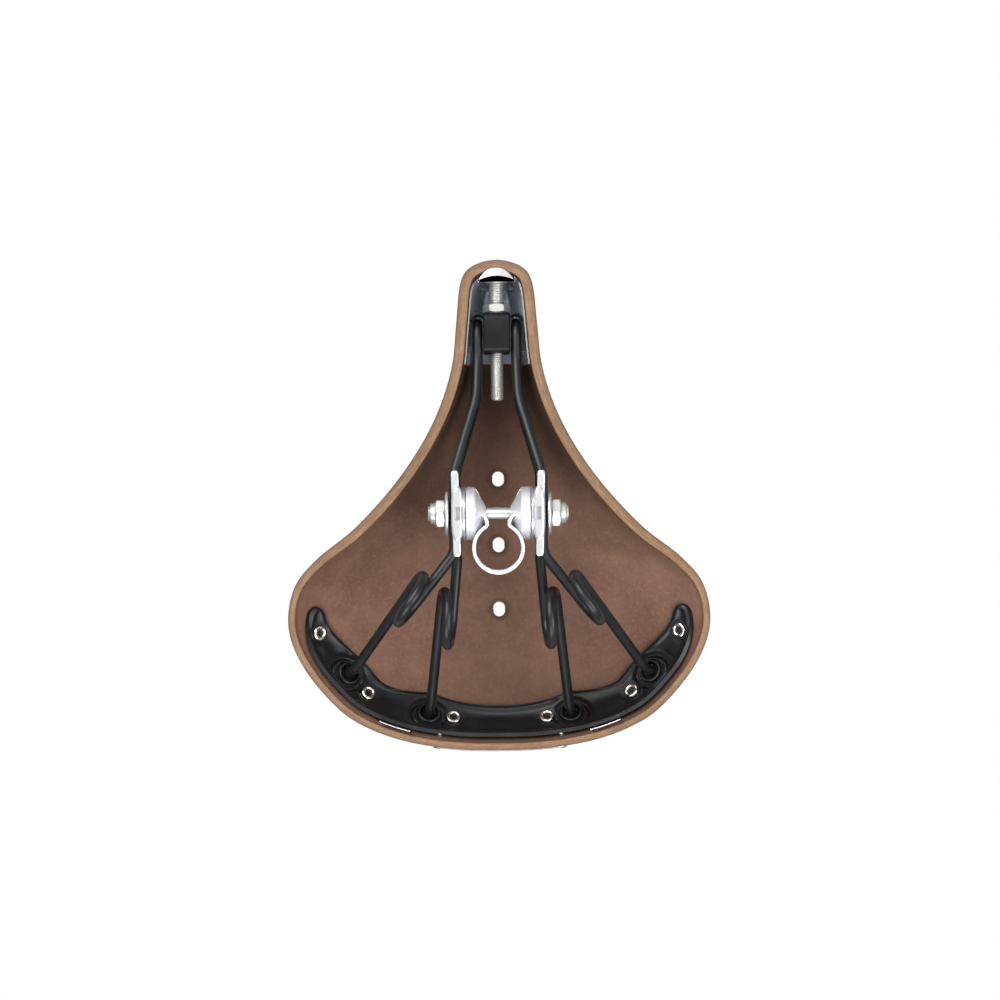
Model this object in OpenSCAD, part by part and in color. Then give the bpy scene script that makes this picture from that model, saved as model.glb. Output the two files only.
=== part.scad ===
// Leather bicycle saddle on two looped spring wires, with its seat-post clip.
// +Z is up in use, +Y points to the rear, +X to the rider's left.
// The origin is the centre of the clip's bore, where the seat post goes.

/* [Leather] */
// Overall width across the wings
saddle_w = 210; // [190:1:220]
// Thickness of the leather
leather_t = 5; // [4:0.1:5.5]
// Length of each vent slot
vent_l = 7.4; // [6:0.1:9]
// Width of each vent slot
vent_w = 5.8; // [4:0.1:7]

/* [Cantle plate] */
// Sheet thickness of the cantle plate
cantle_t = 2; // [1.5:0.1:2.5]
// Gap between leather and the plates under it
plate_gap = 0.2; // [0.1:0.05:0.3]

/* [Spring wires] */
// Diameter of the wire
wire_d = 5; // [4:0.1:5.2]
// Height of the upper and lower rails above and below the clamp bolt
rail_z = 6.75; // [6.5:0.05:7.5]
// Bend radius of the outer loops
outer_loop_r = 12.3; // [11:0.1:13]
// Bend radius of the inner loops
inner_loop_r = 12.7; // [11:0.1:13]
// Sideways offset of a loop's outgoing strand
loop_shift = 5.7; // [5.4:0.1:7]

/* [Nose] */
// Height of the tension pin's axis
pin_z = 18; // [16:0.5:20]
// Diameter of the pin's front shank
pin_d = 7.3; // [7:0.1:8]
// Diameter of the pin's threaded rod
rod_d = 6.4; // [5:0.1:6.8]
// Sheet thickness of the nosepiece
nosepiece_t = 1.6; // [1.2:0.1:2]

/* [Post clip and clamp] */
// Diameter of the seat post that the clip holds
post_d = 22.2; // [21.8:0.1:22.6]
// Wall thickness of the clip's band
band_t = 1.6; // [1.4:0.1:2]
// Height of the clip's band
band_h = 22; // [20:1:24]
// Distance from the post's axis forward to the clamp bolt
bolt_y = 16.8; // [16.4:0.1:17.2]
// Thread diameter of the clamp bolt
bolt_d = 8; // [7:0.5:8]
// Number of serrations round each ear
teeth = 40; // [24:2:48]

/* [Hidden] */
$fn = 64;

// ---- colours ----
leather_c = [0.47, 0.33, 0.25];
black_c = [0.06, 0.06, 0.07];
chrome_c = [0.80, 0.81, 0.83];
nickel_c = [0.72, 0.66, 0.58];

// ---- small helpers ----
LEFT = 1;
RIGHT = -1;
function unit(v) = v / norm(v);
function mix(a, b, t) = a + (b - a) * t;
function clamp(x, lo, hi) = min(max(x, lo), hi);
function ease(lo, hi, x) = let (t = clamp((x - lo) / (hi - lo), 0, 1)) t * t * (3 - 2 * t);
function spline(a, b, c, d, t) =
  0.5 * (2 * b + (c - a) * t + (2 * a - 5 * b + 4 * c - d) * t * t
    + (3 * b - a - 3 * c + d) * t * t * t);

// Turns +Z towards v and moves to p
module aim(p, v) {
  translate(p) rotate([0, acos(v[2] / norm(v)), atan2(v[1], v[0])]) children();
}

// Puts a shape drawn along +Z on the clamp bolt's axis, pointing outwards on one side
module on_bolt(side) {
  translate([0, -bolt_y, 0]) rotate([0, 90 * side, 0]) children();
}

// ---- the saddle's moulded surface ----
// The leather's lower edge from the nose tip to the rear centre: x, y, z
w_k = saddle_w / 210;
edge = [
  [0, -140.8, 8], [12.2, -137.4, 7], [17.6, -129, 5.5], [19.8, -109, 4.5], [22, -89, 5.5],
  [28.2, -69, 8], [38.2 * w_k, -49.5, 11.5], [52.6 * w_k, -29.5, 16], [71.4 * w_k, -9.5, 20],
  [90.3 * w_k, 5.5, 23.5], [101.9 * w_k, 20, 26], [104.9 * w_k, 40, 28], [97.3 * w_k, 60, 29],
  [80.9 * w_k, 80, 30], [65.8 * w_k, 90.1, 30.5], [46 * w_k, 97.2, 31.5], [22.8, 101, 32.5],
  [0, 101.8, 33]
];
last_u = len(edge) - 1;
// The ridge line along the middle: y, z. The ends of it are the centres of the two round ends.
ridge = [
  [-124, 51.5], [-104, 51.5], [-84, 49.8], [-64, 48.4], [-44, 48], [-24, 49], [-4, 51.2],
  [16, 54.5], [36, 58.8], [52, 62], [66, 63]
];
nose_y = ridge[0][0];
rear_y = ridge[len(ridge) - 1][0];

function mirrored(p) = [-p[0], p[1], p[2]];
function edge_knot(i) =
  i < 0 ? mirrored(edge[-i]) : i > last_u ? mirrored(edge[2 * last_u - i]) : edge[i];
function edge_point(u) =
  let (i = min(floor(u), last_u - 1))
  spline(edge_knot(i - 1), edge_knot(i), edge_knot(i + 1), edge_knot(i + 2), u - i);

// The ridge is level at both ends, so its end knots repeat as mirror images
function ridge_knot(i) =
  let (n = len(ridge) - 1) ridge[i < 0 ? -i : i > n ? 2 * n - i : i][1];
function ridge_span(y, i = 0) =
  i >= len(ridge) - 2 || y < ridge[i + 1][0] ? i : ridge_span(y, i + 1);
function ridge_z(y0) =
  let (
    y = clamp(y0, nose_y, rear_y),
    i = ridge_span(y),
    t = (y - ridge[i][0]) / (ridge[i + 1][0] - ridge[i][0])
  )
  spline(ridge_knot(i - 1), ridge_knot(i), ridge_knot(i + 1), ridge_knot(i + 2), t);

// Powers of the superellipse across the saddle: boxy at the nose, softer at the waist
function across_power(y) = mix(mix(4.2, 2.4, ease(-110, -40, y)), 3, ease(-20, 66, y));
function up_power(y) = mix(mix(2.2, 1.7, ease(-110, -40, y)), 2.1, ease(-20, 66, y));

// A point on the outer surface: u runs nose to rear, a is 0 at the ridge and 90 at the edge
function skin(side, u, a) =
  let (
    e = edge_point(u),
    sy = clamp(e[1], nose_y, rear_y),
    sz = ridge_z(sy),
    s = pow(sin(a), 2 / across_power(e[1])),
    h = pow(max(cos(a), 0), 2 / up_power(e[1]))
  )
  [side * e[0] * s, sy + (e[1] - sy) * s, e[2] + (sz - e[2]) * h];

function ridge_normal(u) =
  let (y = clamp(edge_point(u)[1], nose_y, rear_y))
  unit([0, ridge_z(y - 0.5) - ridge_z(y + 0.5), 1]);
function skin_normal(side, u, a) =
  a < 0.5 ? ridge_normal(u) :
  let (
    along = skin(side, min(u + 0.02, last_u), a) - skin(side, max(u - 0.02, 0), a),
    down = skin(side, u, min(a + 1, 90)) - skin(side, u, a - 1)
  )
  -side * unit(cross(along, down));
function under(side, u, a, depth) = skin(side, u, a) - depth * skin_normal(side, u, a);

// ---- shells that follow the surface ----
// Closed shell over the ridge from the nose to u_end, between two depths.
// It closes on itself when it reaches the rear centre.
module dome(u_end, per_u, rings, a_edge, depth_out, depth_in) {
  c = round(u_end * per_u);
  closed = u_end >= last_u;
  us = [for (i = [0:c]) u_end * i / c];
  front = len([for (u = us) if (edge_point(u)[1] <= nose_y) 1]) - 1;
  rear = min(c, len([for (u = us) if (edge_point(u)[1] < rear_y) 1]));
  ridge_n = rear - front + 1;
  ring_n = closed ? 2 * c : 2 * c + 1;
  shell_n = ridge_n + rings * ring_n;
  function ridge_id(i) = clamp(i, front, rear) - front;
  function id(side, i, k) =
    k == 0 ? ridge_id(i)
    : ridge_n + (k - 1) * ring_n + (side > 0 || i == 0 || (closed && i == c) ? i : c + i);
  function points(depth) = concat(
    [for (i = [front:rear]) under(LEFT, us[i], 0, depth)],
    [for (k = [1:rings], p = [0:ring_n - 1])
      let (side = p <= c ? LEFT : RIGHT, i = p <= c ? p : p - c)
      under(side, us[i], a_edge * k / rings, depth)]
  );
  function turned(side, f) = side > 0 ? f : [f[2], f[1], f[0]];
  function patch(side, i, k) =
    let (
      a = id(side, i, k), b = id(side, i, k + 1),
      c2 = id(side, i + 1, k + 1), d = id(side, i + 1, k)
    )
    concat([turned(side, [a, c2, b])], a == d ? [] : [turned(side, [a, d, c2])]);
  outer = [for (side = [LEFT, RIGHT], i = [0:c - 1], k = [0:rings - 1])
    each patch(side, i, k)];
  inner = [for (f = outer) [f[2], f[1], f[0]] + shell_n * [1, 1, 1]];
  rim = [for (side = [LEFT, RIGHT], i = [0:c - 1])
    let (b = id(side, i, rings), d = id(side, i + 1, rings))
    each [turned(side, [b, d, d + shell_n]), turned(side, [b, d + shell_n, b + shell_n])]];
  mouth = closed ? [] : [for (side = [LEFT, RIGHT], k = [0:rings - 1])
    let (d = id(side, c, k), b = id(side, c, k + 1))
    each [turned(side, [b, d, d + shell_n]), turned(side, [b, d + shell_n, b + shell_n])]];
  polyhedron(
    concat(points(depth_out), points(depth_in)),
    concat(outer, inner, rim, mouth),
    convexity = 6
  );
}

// Closed shell between two grids of points; columns run clockwise seen from outside
module grid_shell(outer_pts, inner_pts) {
  columns = len(outer_pts) - 1;
  rows = len(outer_pts[0]) - 1;
  per = rows + 1;
  shell_n = (columns + 1) * per;
  function quad(a, b, c, d) = [[a, b, c], [a, c, d]];
  function flipped(faces) = [for (f = faces) [f[2], f[1], f[0]]];
  outer = [for (i = [0:columns - 1], k = [0:rows - 1])
    let (a = i * per + k) each quad(a, a + per, a + per + 1, a + 1)];
  inner = [for (f = flipped(outer)) f + shell_n * [1, 1, 1]];
  rims = [for (i = [0:columns - 1], k = [0, rows])
    let (a = i * per + k, f = quad(a, a + shell_n, a + per + shell_n, a + per))
    each k == 0 ? f : flipped(f)];
  ends = [for (k = [0:rows - 1], i = [0, columns])
    let (a = i * per + k, f = quad(a, a + 1, a + 1 + shell_n, a + shell_n))
    each i == 0 ? f : flipped(f)];
  polyhedron(
    concat([for (c = outer_pts) each c], [for (c = inner_pts) each c]),
    concat(outer, inner, rims, ends),
    convexity = 6
  );
}
// Shell round the rear from one side's u_tip to the other's, between two depths.
// reach(t) gives the two angles that bound it, where t is 0 at a tip and 1 at the middle.
// Columns crowd towards the tips.
// The outer depth grows by joggle where a bag loop passes outside the shell.
crowding = 1.6;
module rear_band(u_tip, columns, rows, depth_out, depth_in, reach, joggle = 0) {
  function grid(depth, extra) =
    [for (i = [0:columns])
      let (
        w = 2 * i / columns - 1,
        t = pow(1 - abs(w), crowding),
        span = reach(t),
        u = mix(u_tip, last_u, t),
        own = depth + (abs(u - bag_loop_u) < bag_loop_du + 0.4 ? extra : 0)
      )
      [for (k = [0:rows])
        under(w < 0 ? LEFT : RIGHT, u, mix(span[0], span[1], k / rows), own)]];
  grid_shell(grid(depth_out, joggle), grid(depth_in, 0));
}

// ---- rivets ----
plate_depth = leather_t + plate_gap;
cantle_depth = plate_depth + cantle_t;
nose_depth = plate_depth + nosepiece_t;
rivet_r = 2.4;
// Where the rivets sit on one side: u and angle
rear_rivet_at = [[11.12, 60], [12.93, 52], [15.59, 41]];
nose_rivet_at = [[0, 50], [1.25, 50], [2.7, 50]];
badge_rivet_at = [[15.62, 78]];

// Draws the children at each rivet, pointing out of the surface
module at_rivets(places) {
  for (p = places, side = p[0] == 0 ? [LEFT] : [LEFT, RIGHT])
    aim(skin(side, p[0], p[1]), skin_normal(side, p[0], p[1])) children();
}
module rivet_holes(places, clearance = 0) {
  at_rivets(places) translate([0, 0, -12]) cylinder(h = 16, r = rivet_r + clearance);
}
// Tubular rivet through the layers, rolled over at the given depth underneath
module tube_rivet(depth, roll_r) {
  rotate_extrude()
    polygon([
      [0, 1.9], [2.4, 1.6], [4.2, 0.9], [4.9, 0.15], [rivet_r, 0.15], [rivet_r, -depth],
      [roll_r, -depth], [roll_r, -depth - 0.7], [roll_r - 0.6, -depth - 1.2],
      [1.8, -depth - 1], [1.8, -depth + 1], [0, -depth + 1]
    ]);
}

// ---- leather ----
vent_y = [-33.8, -0.5, 32.3];
module leather_top() {
  color(leather_c)
    difference() {
      dome(last_u, 3, 12, 90, 0, leather_t);
      for (y = vent_y)
        translate([0, y, 40]) {
          for (s = [-1, 1])
            translate([0, s * (vent_l - vent_w) / 2, 0]) cylinder(h = 30, d = vent_w);
          translate([-vent_w / 2, -(vent_l - vent_w) / 2, 0])
            cube([vent_w, vent_l - vent_w, 30]);
        }
      rivet_holes(concat(rear_rivet_at, badge_rivet_at));
      rivet_holes(nose_rivet_at, 0.15);
    }
}

// ---- cantle plate ----
cantle_tip_u = 10.42;
function cantle_reach(t) =
  let (
    u = mix(cantle_tip_u, last_u, t),
    open = sqrt(1 - pow(1 - clamp(t / 0.035, 0.02, 1), 2)),
    low = mix(mix(55, 36, ease(10.4, 12.3, u)), 19, ease(12.5, 13.6, u)),
    high = mix(68, 86, ease(10.3, 12.3, u))
  )
  [mix(60.5, low, open), mix(62, high, open)];

module cantle_plate() {
  color(black_c)
    difference() {
      rear_band(cantle_tip_u, 60, 7, plate_depth, cantle_depth, function(t) cantle_reach(t),
        bag_loop_t + 0.15);
      rivet_holes(concat(rear_rivet_at, badge_rivet_at));
      for (side = [LEFT, RIGHT], s = sockets)
        aim(socket_base(side, s), socket_axis(side, s))
          translate([0, 0, -4]) cylinder(h = 12, r = socket_neck_r);
    }
}

// ---- spring sockets ----
// Outer and inner socket: u and angle
sockets = [[12.42, 60], [15.09, 54]];
socket_neck_r = 4.6;
socket_l = 8.4;
function socket_base(side, s) = under(side, s[0], s[1], cantle_depth);
function socket_axis(side, s) = skin_normal(side, s[0], s[1]);
function socket_mouth(side, s) = socket_base(side, s) - socket_l * socket_axis(side, s);

module spring_socket(side, s) {
  color(black_c)
    aim(socket_base(side, s), socket_axis(side, s))
      rotate_extrude()
        polygon([
          [0, 0.8], [socket_neck_r, 0.8], [socket_neck_r, -2], [8.3, -2], [8.3, -3.1],
          [6.4, -3.9], [6, -5.8], [4.6, -6.4], [4.3, -socket_l], [wire_d / 2, -socket_l],
          [wire_d / 2, -2], [0, -2]
        ]);
}

module rear_rivets() { color(nickel_c) at_rivets(rear_rivet_at) tube_rivet(cantle_depth + 0.4, 3.3); }

// ---- badge ----
badge_u = 15.42;
badge_t = 0.9;
module rear_badge() {
  color(nickel_c)
    difference() {
      rear_band(badge_u, 16, 3, -badge_t - 0.1, -0.1,
        function(t) let (e = sqrt(1 - pow(1 - clamp(t / 0.25, 0.15, 1), 2)))
          [mix(72, 62, e), mix(76, 85, e)]);
      rivet_holes(badge_rivet_at);
    }
}
badge_tail = cantle_depth + 0.4;
module badge_rivets() {
  color(nickel_c)
    at_rivets(badge_rivet_at)
      rotate_extrude()
        polygon([
          [0, 2.2], [1.6, 2], [3, 1.2], [3, 1.1], [rivet_r, 1.1], [rivet_r, -badge_tail],
          [2.9, -badge_tail], [2.4, -badge_tail - 0.8], [0, -badge_tail - 0.8]
        ]);
}

// ---- bag loops ----
// A strap tucked between the leather and the cantle plate, with a slotted tab below the leather
bag_loop_u = 14.58;
bag_loop_du = 0.4;
bag_loop_t = 0.8;
bag_loop_low_z = 19;
bag_slot_w = 14;
bag_slot_h = 6.4;
bag_tab_w = 19;
bag_tab_top_z = 30;
module bag_loop(side) {
  function grid(depth) =
    [for (i = [0:6])
      let (u = bag_loop_u + side * mix(-bag_loop_du, bag_loop_du, i / 6))
      [
        for (a = [66, 72, 78, 84]) under(side, u, a, depth),
        let (p = under(side, u, 84, depth)) [p[0], p[1], bag_tab_top_z - 1]
      ]];
  foot = under(side, bag_loop_u, 84, plate_depth - 0.1);
  facing = skin_normal(side, bag_loop_u, 84);
  color(chrome_c) {
    grid_shell(grid(plate_depth + 0.05), grid(plate_depth + 0.05 + bag_loop_t));
    translate([foot[0], foot[1], bag_loop_low_z])
      rotate([0, 0, atan2(facing[1], facing[0]) + 90])
        difference() {
          translate([-bag_tab_w / 2, 0, 0])
            cube([bag_tab_w, bag_loop_t + 0.35, bag_tab_top_z - bag_loop_low_z]);
          translate([-bag_slot_w / 2, -1, 2.2]) cube([bag_slot_w, 4, bag_slot_h]);
        }
  }
}

// ---- nosepiece ----
nosepiece_u = 3.9;
pin_front_y = -131.5;
module nosepiece() {
  color(chrome_c)
    difference() {
      union() {
        dome(nosepiece_u, 4, 9, 80, plate_depth, nose_depth);
        // Solid toe that the tension pin pushes on
        translate([0, nose_y, pin_z - 7])
          linear_extrude(14)
            intersection() {
              scale([1.06, 1]) circle(r = 10.6);
              translate([-15, -20]) square([30, pin_front_y - nose_y + 20]);
            }
      }
      rivet_holes(nose_rivet_at);
    }
}
module nose_rivets() { color(nickel_c) at_rivets(nose_rivet_at) tube_rivet(nose_depth + 1.2, 2.9); }

// ---- tension pin ----
nut_front_y = -119.6;
anchor_y = -115.3;
anchor_l = 20;
rod_end_y = -72;
module along_pin(y) { translate([0, y, pin_z]) rotate([-90, 0, 0]) children(); }

module tension_pin() {
  color(nickel_c) {
    along_pin(pin_front_y) cylinder(h = nut_front_y - pin_front_y - 0.2, d = pin_d);
    along_pin(nut_front_y - 0.3) cylinder(h = rod_end_y - nut_front_y - 0.7, d = rod_d);
    along_pin(rod_end_y - 1.1) cylinder(h = 1.1, d = 5.2);
  }
}
module pin_washer() {
  color(chrome_c)
    along_pin(pin_front_y)
      difference() {
        cylinder(h = 1.3, r = 5.4);
        translate([0, 0, -1]) cylinder(h = 4, d = pin_d);
      }
}
module tension_nut() {
  nut_l = 3.9;
  color(chrome_c)
    along_pin(nut_front_y)
      difference() {
        intersection() {
          cylinder(h = nut_l, r = 6.95, $fn = 6);
          rotate_extrude() polygon([[0, 0], [6.2, 0], [7, 0.8], [7, nut_l - 0.3], [6.7, nut_l],
            [0, nut_l]]);
        }
        translate([0, 0, -1]) cylinder(h = nut_l + 2, d = rod_d + 0.12);
      }
}

// ---- nose anchor ----
rail_x = 9.5;
cup_y = -111.2;
module nose_anchor() {
  wall = 2.4;
  half = 6.6;
  low_z = pin_z - 11;
  high_z = pin_z + 9;
  color(black_c)
    difference() {
      union() {
        // Front wall, tongue under the pin and rear wall of the folded strap
        translate([-half, anchor_y, low_z]) cube([2 * half, wall, high_z - low_z]);
        translate([-half, anchor_y, low_z]) cube([2 * half, anchor_l, wall]);
        translate([-half, anchor_y + anchor_l - wall, low_z])
          cube([2 * half, wall, high_z - low_z]);
        // Cups that the front bends of the wires sit in
        for (s = [LEFT, RIGHT])
          translate([s * (rail_x - 0.5), cup_y, low_z + 2])
            difference() {
              cylinder(h = high_z - low_z - 4, r = 3.8);
              translate([0, 0, -1]) cylinder(h = 30, r = 2.9);
              translate([-10, 0, -1]) cube([20, 10, 30]);
              translate([s > 0 ? 2.3 : -7.3, -10, -1]) cube([5, 20, 30]);
            }
      }
      along_pin(anchor_y - 1) cylinder(h = anchor_l + 2, d = rod_d + 0.8);
    }
}

// ---- spring wires ----
// A wire is a chain of straight stretches joined by bends: corner point and bend radius
clamp_x = 21.3;
upper_clamp_x = 20.6;
drop = 0.53;
// Share of the sideways offset that the bottom strand already has
loop_lean = 0.35;
// One loop: comes in level at rear corner p, heads along d, and leaves rising on the outside
function loop(p, z, d, r) =
  let (
    out = [d[1], -d[0]], front = p - 2 * r * d, rb = r * 0.99,
    low = loop_lean * loop_shift * out
  )
  [
    [[p[0], p[1], z], rb],
    [[each p + low, z - 2 * r], rb],
    [[each front + low, z - 2 * r], rb],
    [[each front + loop_shift * out, z - drop * r], rb]
  ];
outer_loop = loop([47.3, 35.4], -rail_z, unit([0.597, 0.802]), outer_loop_r);
inner_loop = loop([23.9, 46.7], rail_z, unit([0.086, 0.996]), inner_loop_r);

function reversed(list) = [for (i = [len(list) - 1:-1:0]) list[i]];
function socket_run(s) = [
  [socket_mouth(LEFT, s) - 2.5 * socket_axis(LEFT, s), 10],
  [socket_mouth(LEFT, s) + 4.5 * socket_axis(LEFT, s), 0]
];
wire_route = concat(
  reversed(socket_run(sockets[0])),
  reversed(outer_loop),
  [
    [[clamp_x, 2.4, -rail_z], 12], [[clamp_x, -36.4, -rail_z], 16],
    [[10.2, -73.5, pin_z - rail_z - 5.5], 40], [[rail_x, -91, pin_z - rail_z], 30],
    [[rail_x, -110.1, pin_z - rail_z], rail_z * 0.99],
    [[rail_x, -110.1, pin_z + rail_z], rail_z * 0.99],
    [[rail_x, -91, pin_z + rail_z], 30], [[10.2, -73.5, pin_z + rail_z - 5.5], 40],
    [[upper_clamp_x, -36.4, rail_z], 16], [[upper_clamp_x, -0.5, rail_z], 10],
    [[20.2, 5.5, rail_z], 10]
  ],
  inner_loop,
  socket_run(sockets[1])
);

// Points along the bend at corner i, one about every 15 degrees
function bend(route, i) =
  let (
    p = route[i][0], r = route[i][1],
    a = unit(route[i - 1][0] - p), b = unit(route[i + 1][0] - p),
    turn = 180 - acos(clamp(a * b, -1, 1)),
    start = p + a * r * tan(turn / 2),
    centre = p + unit(a + b) * r / cos(turn / 2),
    n = max(1, ceil(turn / 15))
  )
  [for (k = [0:n])
    centre + (start - centre) * cos(turn * k / n) - a * r * sin(turn * k / n)];
function path(route) = concat(
  [route[0][0]],
  [for (i = [1:len(route) - 2]) each bend(route, i)],
  [route[len(route) - 1][0]]
);
// Carries a cross-section frame along the path without twisting it
function frames(pts, i = 1, n = undef, done = []) =
  let (
    count = len(pts),
    t = unit(pts[min(i, count - 1)] - pts[max(i - 2, 0)]),
    seed = n == undef ? cross(t, [0.3, 0.2, 0.9]) : n,
    m = unit(seed - (seed * t) * t)
  )
  i > count ? done : frames(pts, i + 1, m, concat(done, [[m, cross(t, m)]]));

module tube(pts, d, sides = 10) {
  fr = frames(pts);
  rings = [for (i = [0:len(pts) - 1], k = [0:sides - 1])
    pts[i] + d / 2 * (cos(360 * k / sides) * fr[i][0] + sin(360 * k / sides) * fr[i][1])];
  walls = [for (i = [0:len(pts) - 2], k = [0:sides - 1])
    let (a = i * sides + k, b = i * sides + (k + 1) % sides)
    each [[a, a + sides, b], [b, a + sides, b + sides]]];
  first = [for (k = [0:sides - 1]) k];
  final = [for (k = [sides - 1:-1:0]) (len(pts) - 1) * sides + k];
  polyhedron(rings, concat(walls, [first, final]), convexity = 12);
}
module frame_wire(side) {
  color(black_c)
    if (side > 0) tube(path(wire_route), wire_d);
    else mirror([1, 0, 0]) tube(path(wire_route), wire_d);
}

// ---- post clip ----
ear_x0 = 5.8;
ear_x1 = 11.5;
ear_face_x = 15.7;
ear_r = 12.9;
ear_root = ear_r - 1;
hole_r = bolt_d / 2 + 0.06;
module post_clip() {
  bore_r = post_d / 2;
  gap = 4.4;
  color(chrome_c)
    difference() {
      union() {
        cylinder(h = band_h, r = bore_r + band_t, center = true);
        for (s = [LEFT, RIGHT]) {
          on_bolt(s)
            rotate_extrude()
              polygon([
                [0, ear_x0 - 0.9], [3.6, ear_x0 - 0.9], [4.6, ear_x0], [ear_root - 0.4, ear_x1],
                [ear_root, ear_x1 + 0.5], [ear_root, ear_face_x - 0.9], [0, ear_face_x - 0.9]
              ]);
          on_bolt(s) translate([0, 0, ear_face_x - 1.5]) toothed_ring(1.5);
          // Neck that joins the band's end to the ear
          translate([s > 0 ? gap : -gap - 2.6, -bolt_y, -band_h / 2 + 3])
            cube([2.6, 7.5, band_h - 6]);
        }
      }
      cylinder(h = band_h + 40, r = bore_r, center = true);
      translate([-gap, -40, -20]) cube([2 * gap, 40, 40]);
      translate([-20, -bolt_y, 0]) rotate([0, 90, 0]) cylinder(h = 40, r = hole_r);
    }
}
// Ring with radial serrations round its rim
module toothed_ring(h) {
  outline = [for (i = [0:2 * teeth - 1])
    let (r = i % 2 == 0 ? ear_r : ear_r - 0.6, a = 180 * i / teeth)
    [r * cos(a), r * sin(a)]];
  linear_extrude(h) polygon(outline);
}

// ---- clamp ----
shoe_x0 = 15.8;
shoe_x1 = 22.3;
cheek_x0 = 23.85;
cheek_x1 = 25.9;
shoe_z = 11;
groove_r = wire_d / 2 + 0.08;

module wire_grooves(side) {
  for (g = [[clamp_x, -rail_z], [upper_clamp_x, rail_z]])
    translate([side * g[0], -60, g[1]]) rotate([-90, 0, 0]) cylinder(h = 100, r = groove_r);
}
module inner_shoe(side) {
  body_l = 26;
  tongue_l = 41.4;
  tongue_x0 = 18.3;
  tongue_w = 4;
  tongue_t = 1.4;
  color(chrome_c)
    difference() {
      union() {
        on_bolt(side) translate([0, 0, shoe_x0]) toothed_ring(1.4);
        intersection() {
          translate([side > 0 ? 17 : -shoe_x1, -bolt_y - body_l / 2, -shoe_z])
            cube([shoe_x1 - 17, body_l, 2 * shoe_z]);
          on_bolt(side) cylinder(h = 30, r = 17.2);
        }
        // Tongue that passes under the lower wire, ahead of and behind the body
        translate([side > 0 ? tongue_x0 : -tongue_x0 - tongue_w, -bolt_y - tongue_l / 2,
            -shoe_z])
          cube([tongue_w, tongue_l, tongue_t]);
      }
      wire_grooves(side);
      on_bolt(side) cylinder(h = 40, r = hole_r);
    }
}
module outer_cheek(side) {
  color(chrome_c)
    difference() {
      on_bolt(side) translate([0, 0, cheek_x0]) cylinder(h = cheek_x1 - cheek_x0, r = 10.9);
      on_bolt(side) cylinder(h = 40, r = hole_r);
    }
}
module clamp_bolt() {
  bolt_end_x = 34;
  waist_x = 5;
  color(chrome_c)
    for (s = [LEFT, RIGHT])
      on_bolt(s)
        rotate_extrude()
          polygon([
            [0, 0], [2.8, 0], [2.8, waist_x], [bolt_d / 2, waist_x + 0.8],
            [bolt_d / 2, bolt_end_x - 0.8], [bolt_d / 2 - 0.8, bolt_end_x], [0, bolt_end_x]
          ]);
}
module clamp_nut(side) {
  nut_x0 = cheek_x1 + 0.1;
  hex_l = 5;
  collar_l = 2.3;
  color(chrome_c)
    on_bolt(side) translate([0, 0, nut_x0])
      difference() {
        union() {
          intersection() {
            cylinder(h = hex_l, r = 13 / sqrt(3), $fn = 6);
            rotate_extrude() polygon([[0, 0], [6.7, 0], [7.6, 0.7], [7.6, hex_l - 0.9],
              [6.3, hex_l], [0, hex_l]]);
          }
          rotate_extrude() polygon([[0, 0], [5.4, 0], [5.4, hex_l + collar_l - 0.6],
            [4.9, hex_l + collar_l], [0, hex_l + collar_l]]);
        }
        translate([0, 0, -1]) cylinder(h = 20, r = bolt_d / 2 + 0.05);
      }
}

leather_top();
cantle_plate();
spring_socket(LEFT, sockets[0]);  // spring_socket_outer_left
spring_socket(RIGHT, sockets[0]);  // spring_socket_outer_right
spring_socket(LEFT, sockets[1]);  // spring_socket_inner_left
spring_socket(RIGHT, sockets[1]);  // spring_socket_inner_right
rear_rivets();
rear_badge();
badge_rivets();
bag_loop(LEFT);  // bag_loop_left
bag_loop(RIGHT);  // bag_loop_right
nosepiece();
nose_rivets();
tension_pin();
pin_washer();
tension_nut();
nose_anchor();
frame_wire(LEFT);  // frame_wire_left
frame_wire(RIGHT);  // frame_wire_right
post_clip();
inner_shoe(LEFT);  // inner_shoe_left
inner_shoe(RIGHT);  // inner_shoe_right
outer_cheek(LEFT);  // outer_cheek_left
outer_cheek(RIGHT);  // outer_cheek_right
clamp_bolt();
clamp_nut(LEFT);  // clamp_nut_left
clamp_nut(RIGHT);  // clamp_nut_right
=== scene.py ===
"""Looks of a leather bicycle saddle with looped spring wires, seen from below.

Shapes are in millimetres and turned into metres when a mesh is made; textures, camera and
lights are in metres. +X is the rider's left, +Y the rear, +Z up; the origin is the centre of
the clip's bore.
"""

import math

import bpy
import numpy as np
from mathutils import Matrix, Vector


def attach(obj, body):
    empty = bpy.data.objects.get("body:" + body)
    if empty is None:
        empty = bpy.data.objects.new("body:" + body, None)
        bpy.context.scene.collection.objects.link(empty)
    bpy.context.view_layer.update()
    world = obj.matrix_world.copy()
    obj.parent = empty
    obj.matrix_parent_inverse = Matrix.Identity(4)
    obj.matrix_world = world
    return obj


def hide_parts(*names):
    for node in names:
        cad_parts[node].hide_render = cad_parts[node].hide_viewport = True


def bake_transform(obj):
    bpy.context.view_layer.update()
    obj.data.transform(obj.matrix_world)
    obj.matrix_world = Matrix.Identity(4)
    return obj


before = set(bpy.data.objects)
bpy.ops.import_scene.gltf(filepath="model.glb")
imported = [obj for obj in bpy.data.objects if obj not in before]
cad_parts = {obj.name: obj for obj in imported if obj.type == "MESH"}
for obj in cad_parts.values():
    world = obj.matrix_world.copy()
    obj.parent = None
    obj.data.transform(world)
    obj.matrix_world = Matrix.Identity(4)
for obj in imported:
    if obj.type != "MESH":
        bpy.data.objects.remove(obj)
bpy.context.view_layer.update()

MM = 0.001
VENT_Y = (-33.8, -0.5, 32.3)
LEFT, RIGHT = 1, -1
SIDES = ((LEFT, "left"), (RIGHT, "right"))
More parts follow.
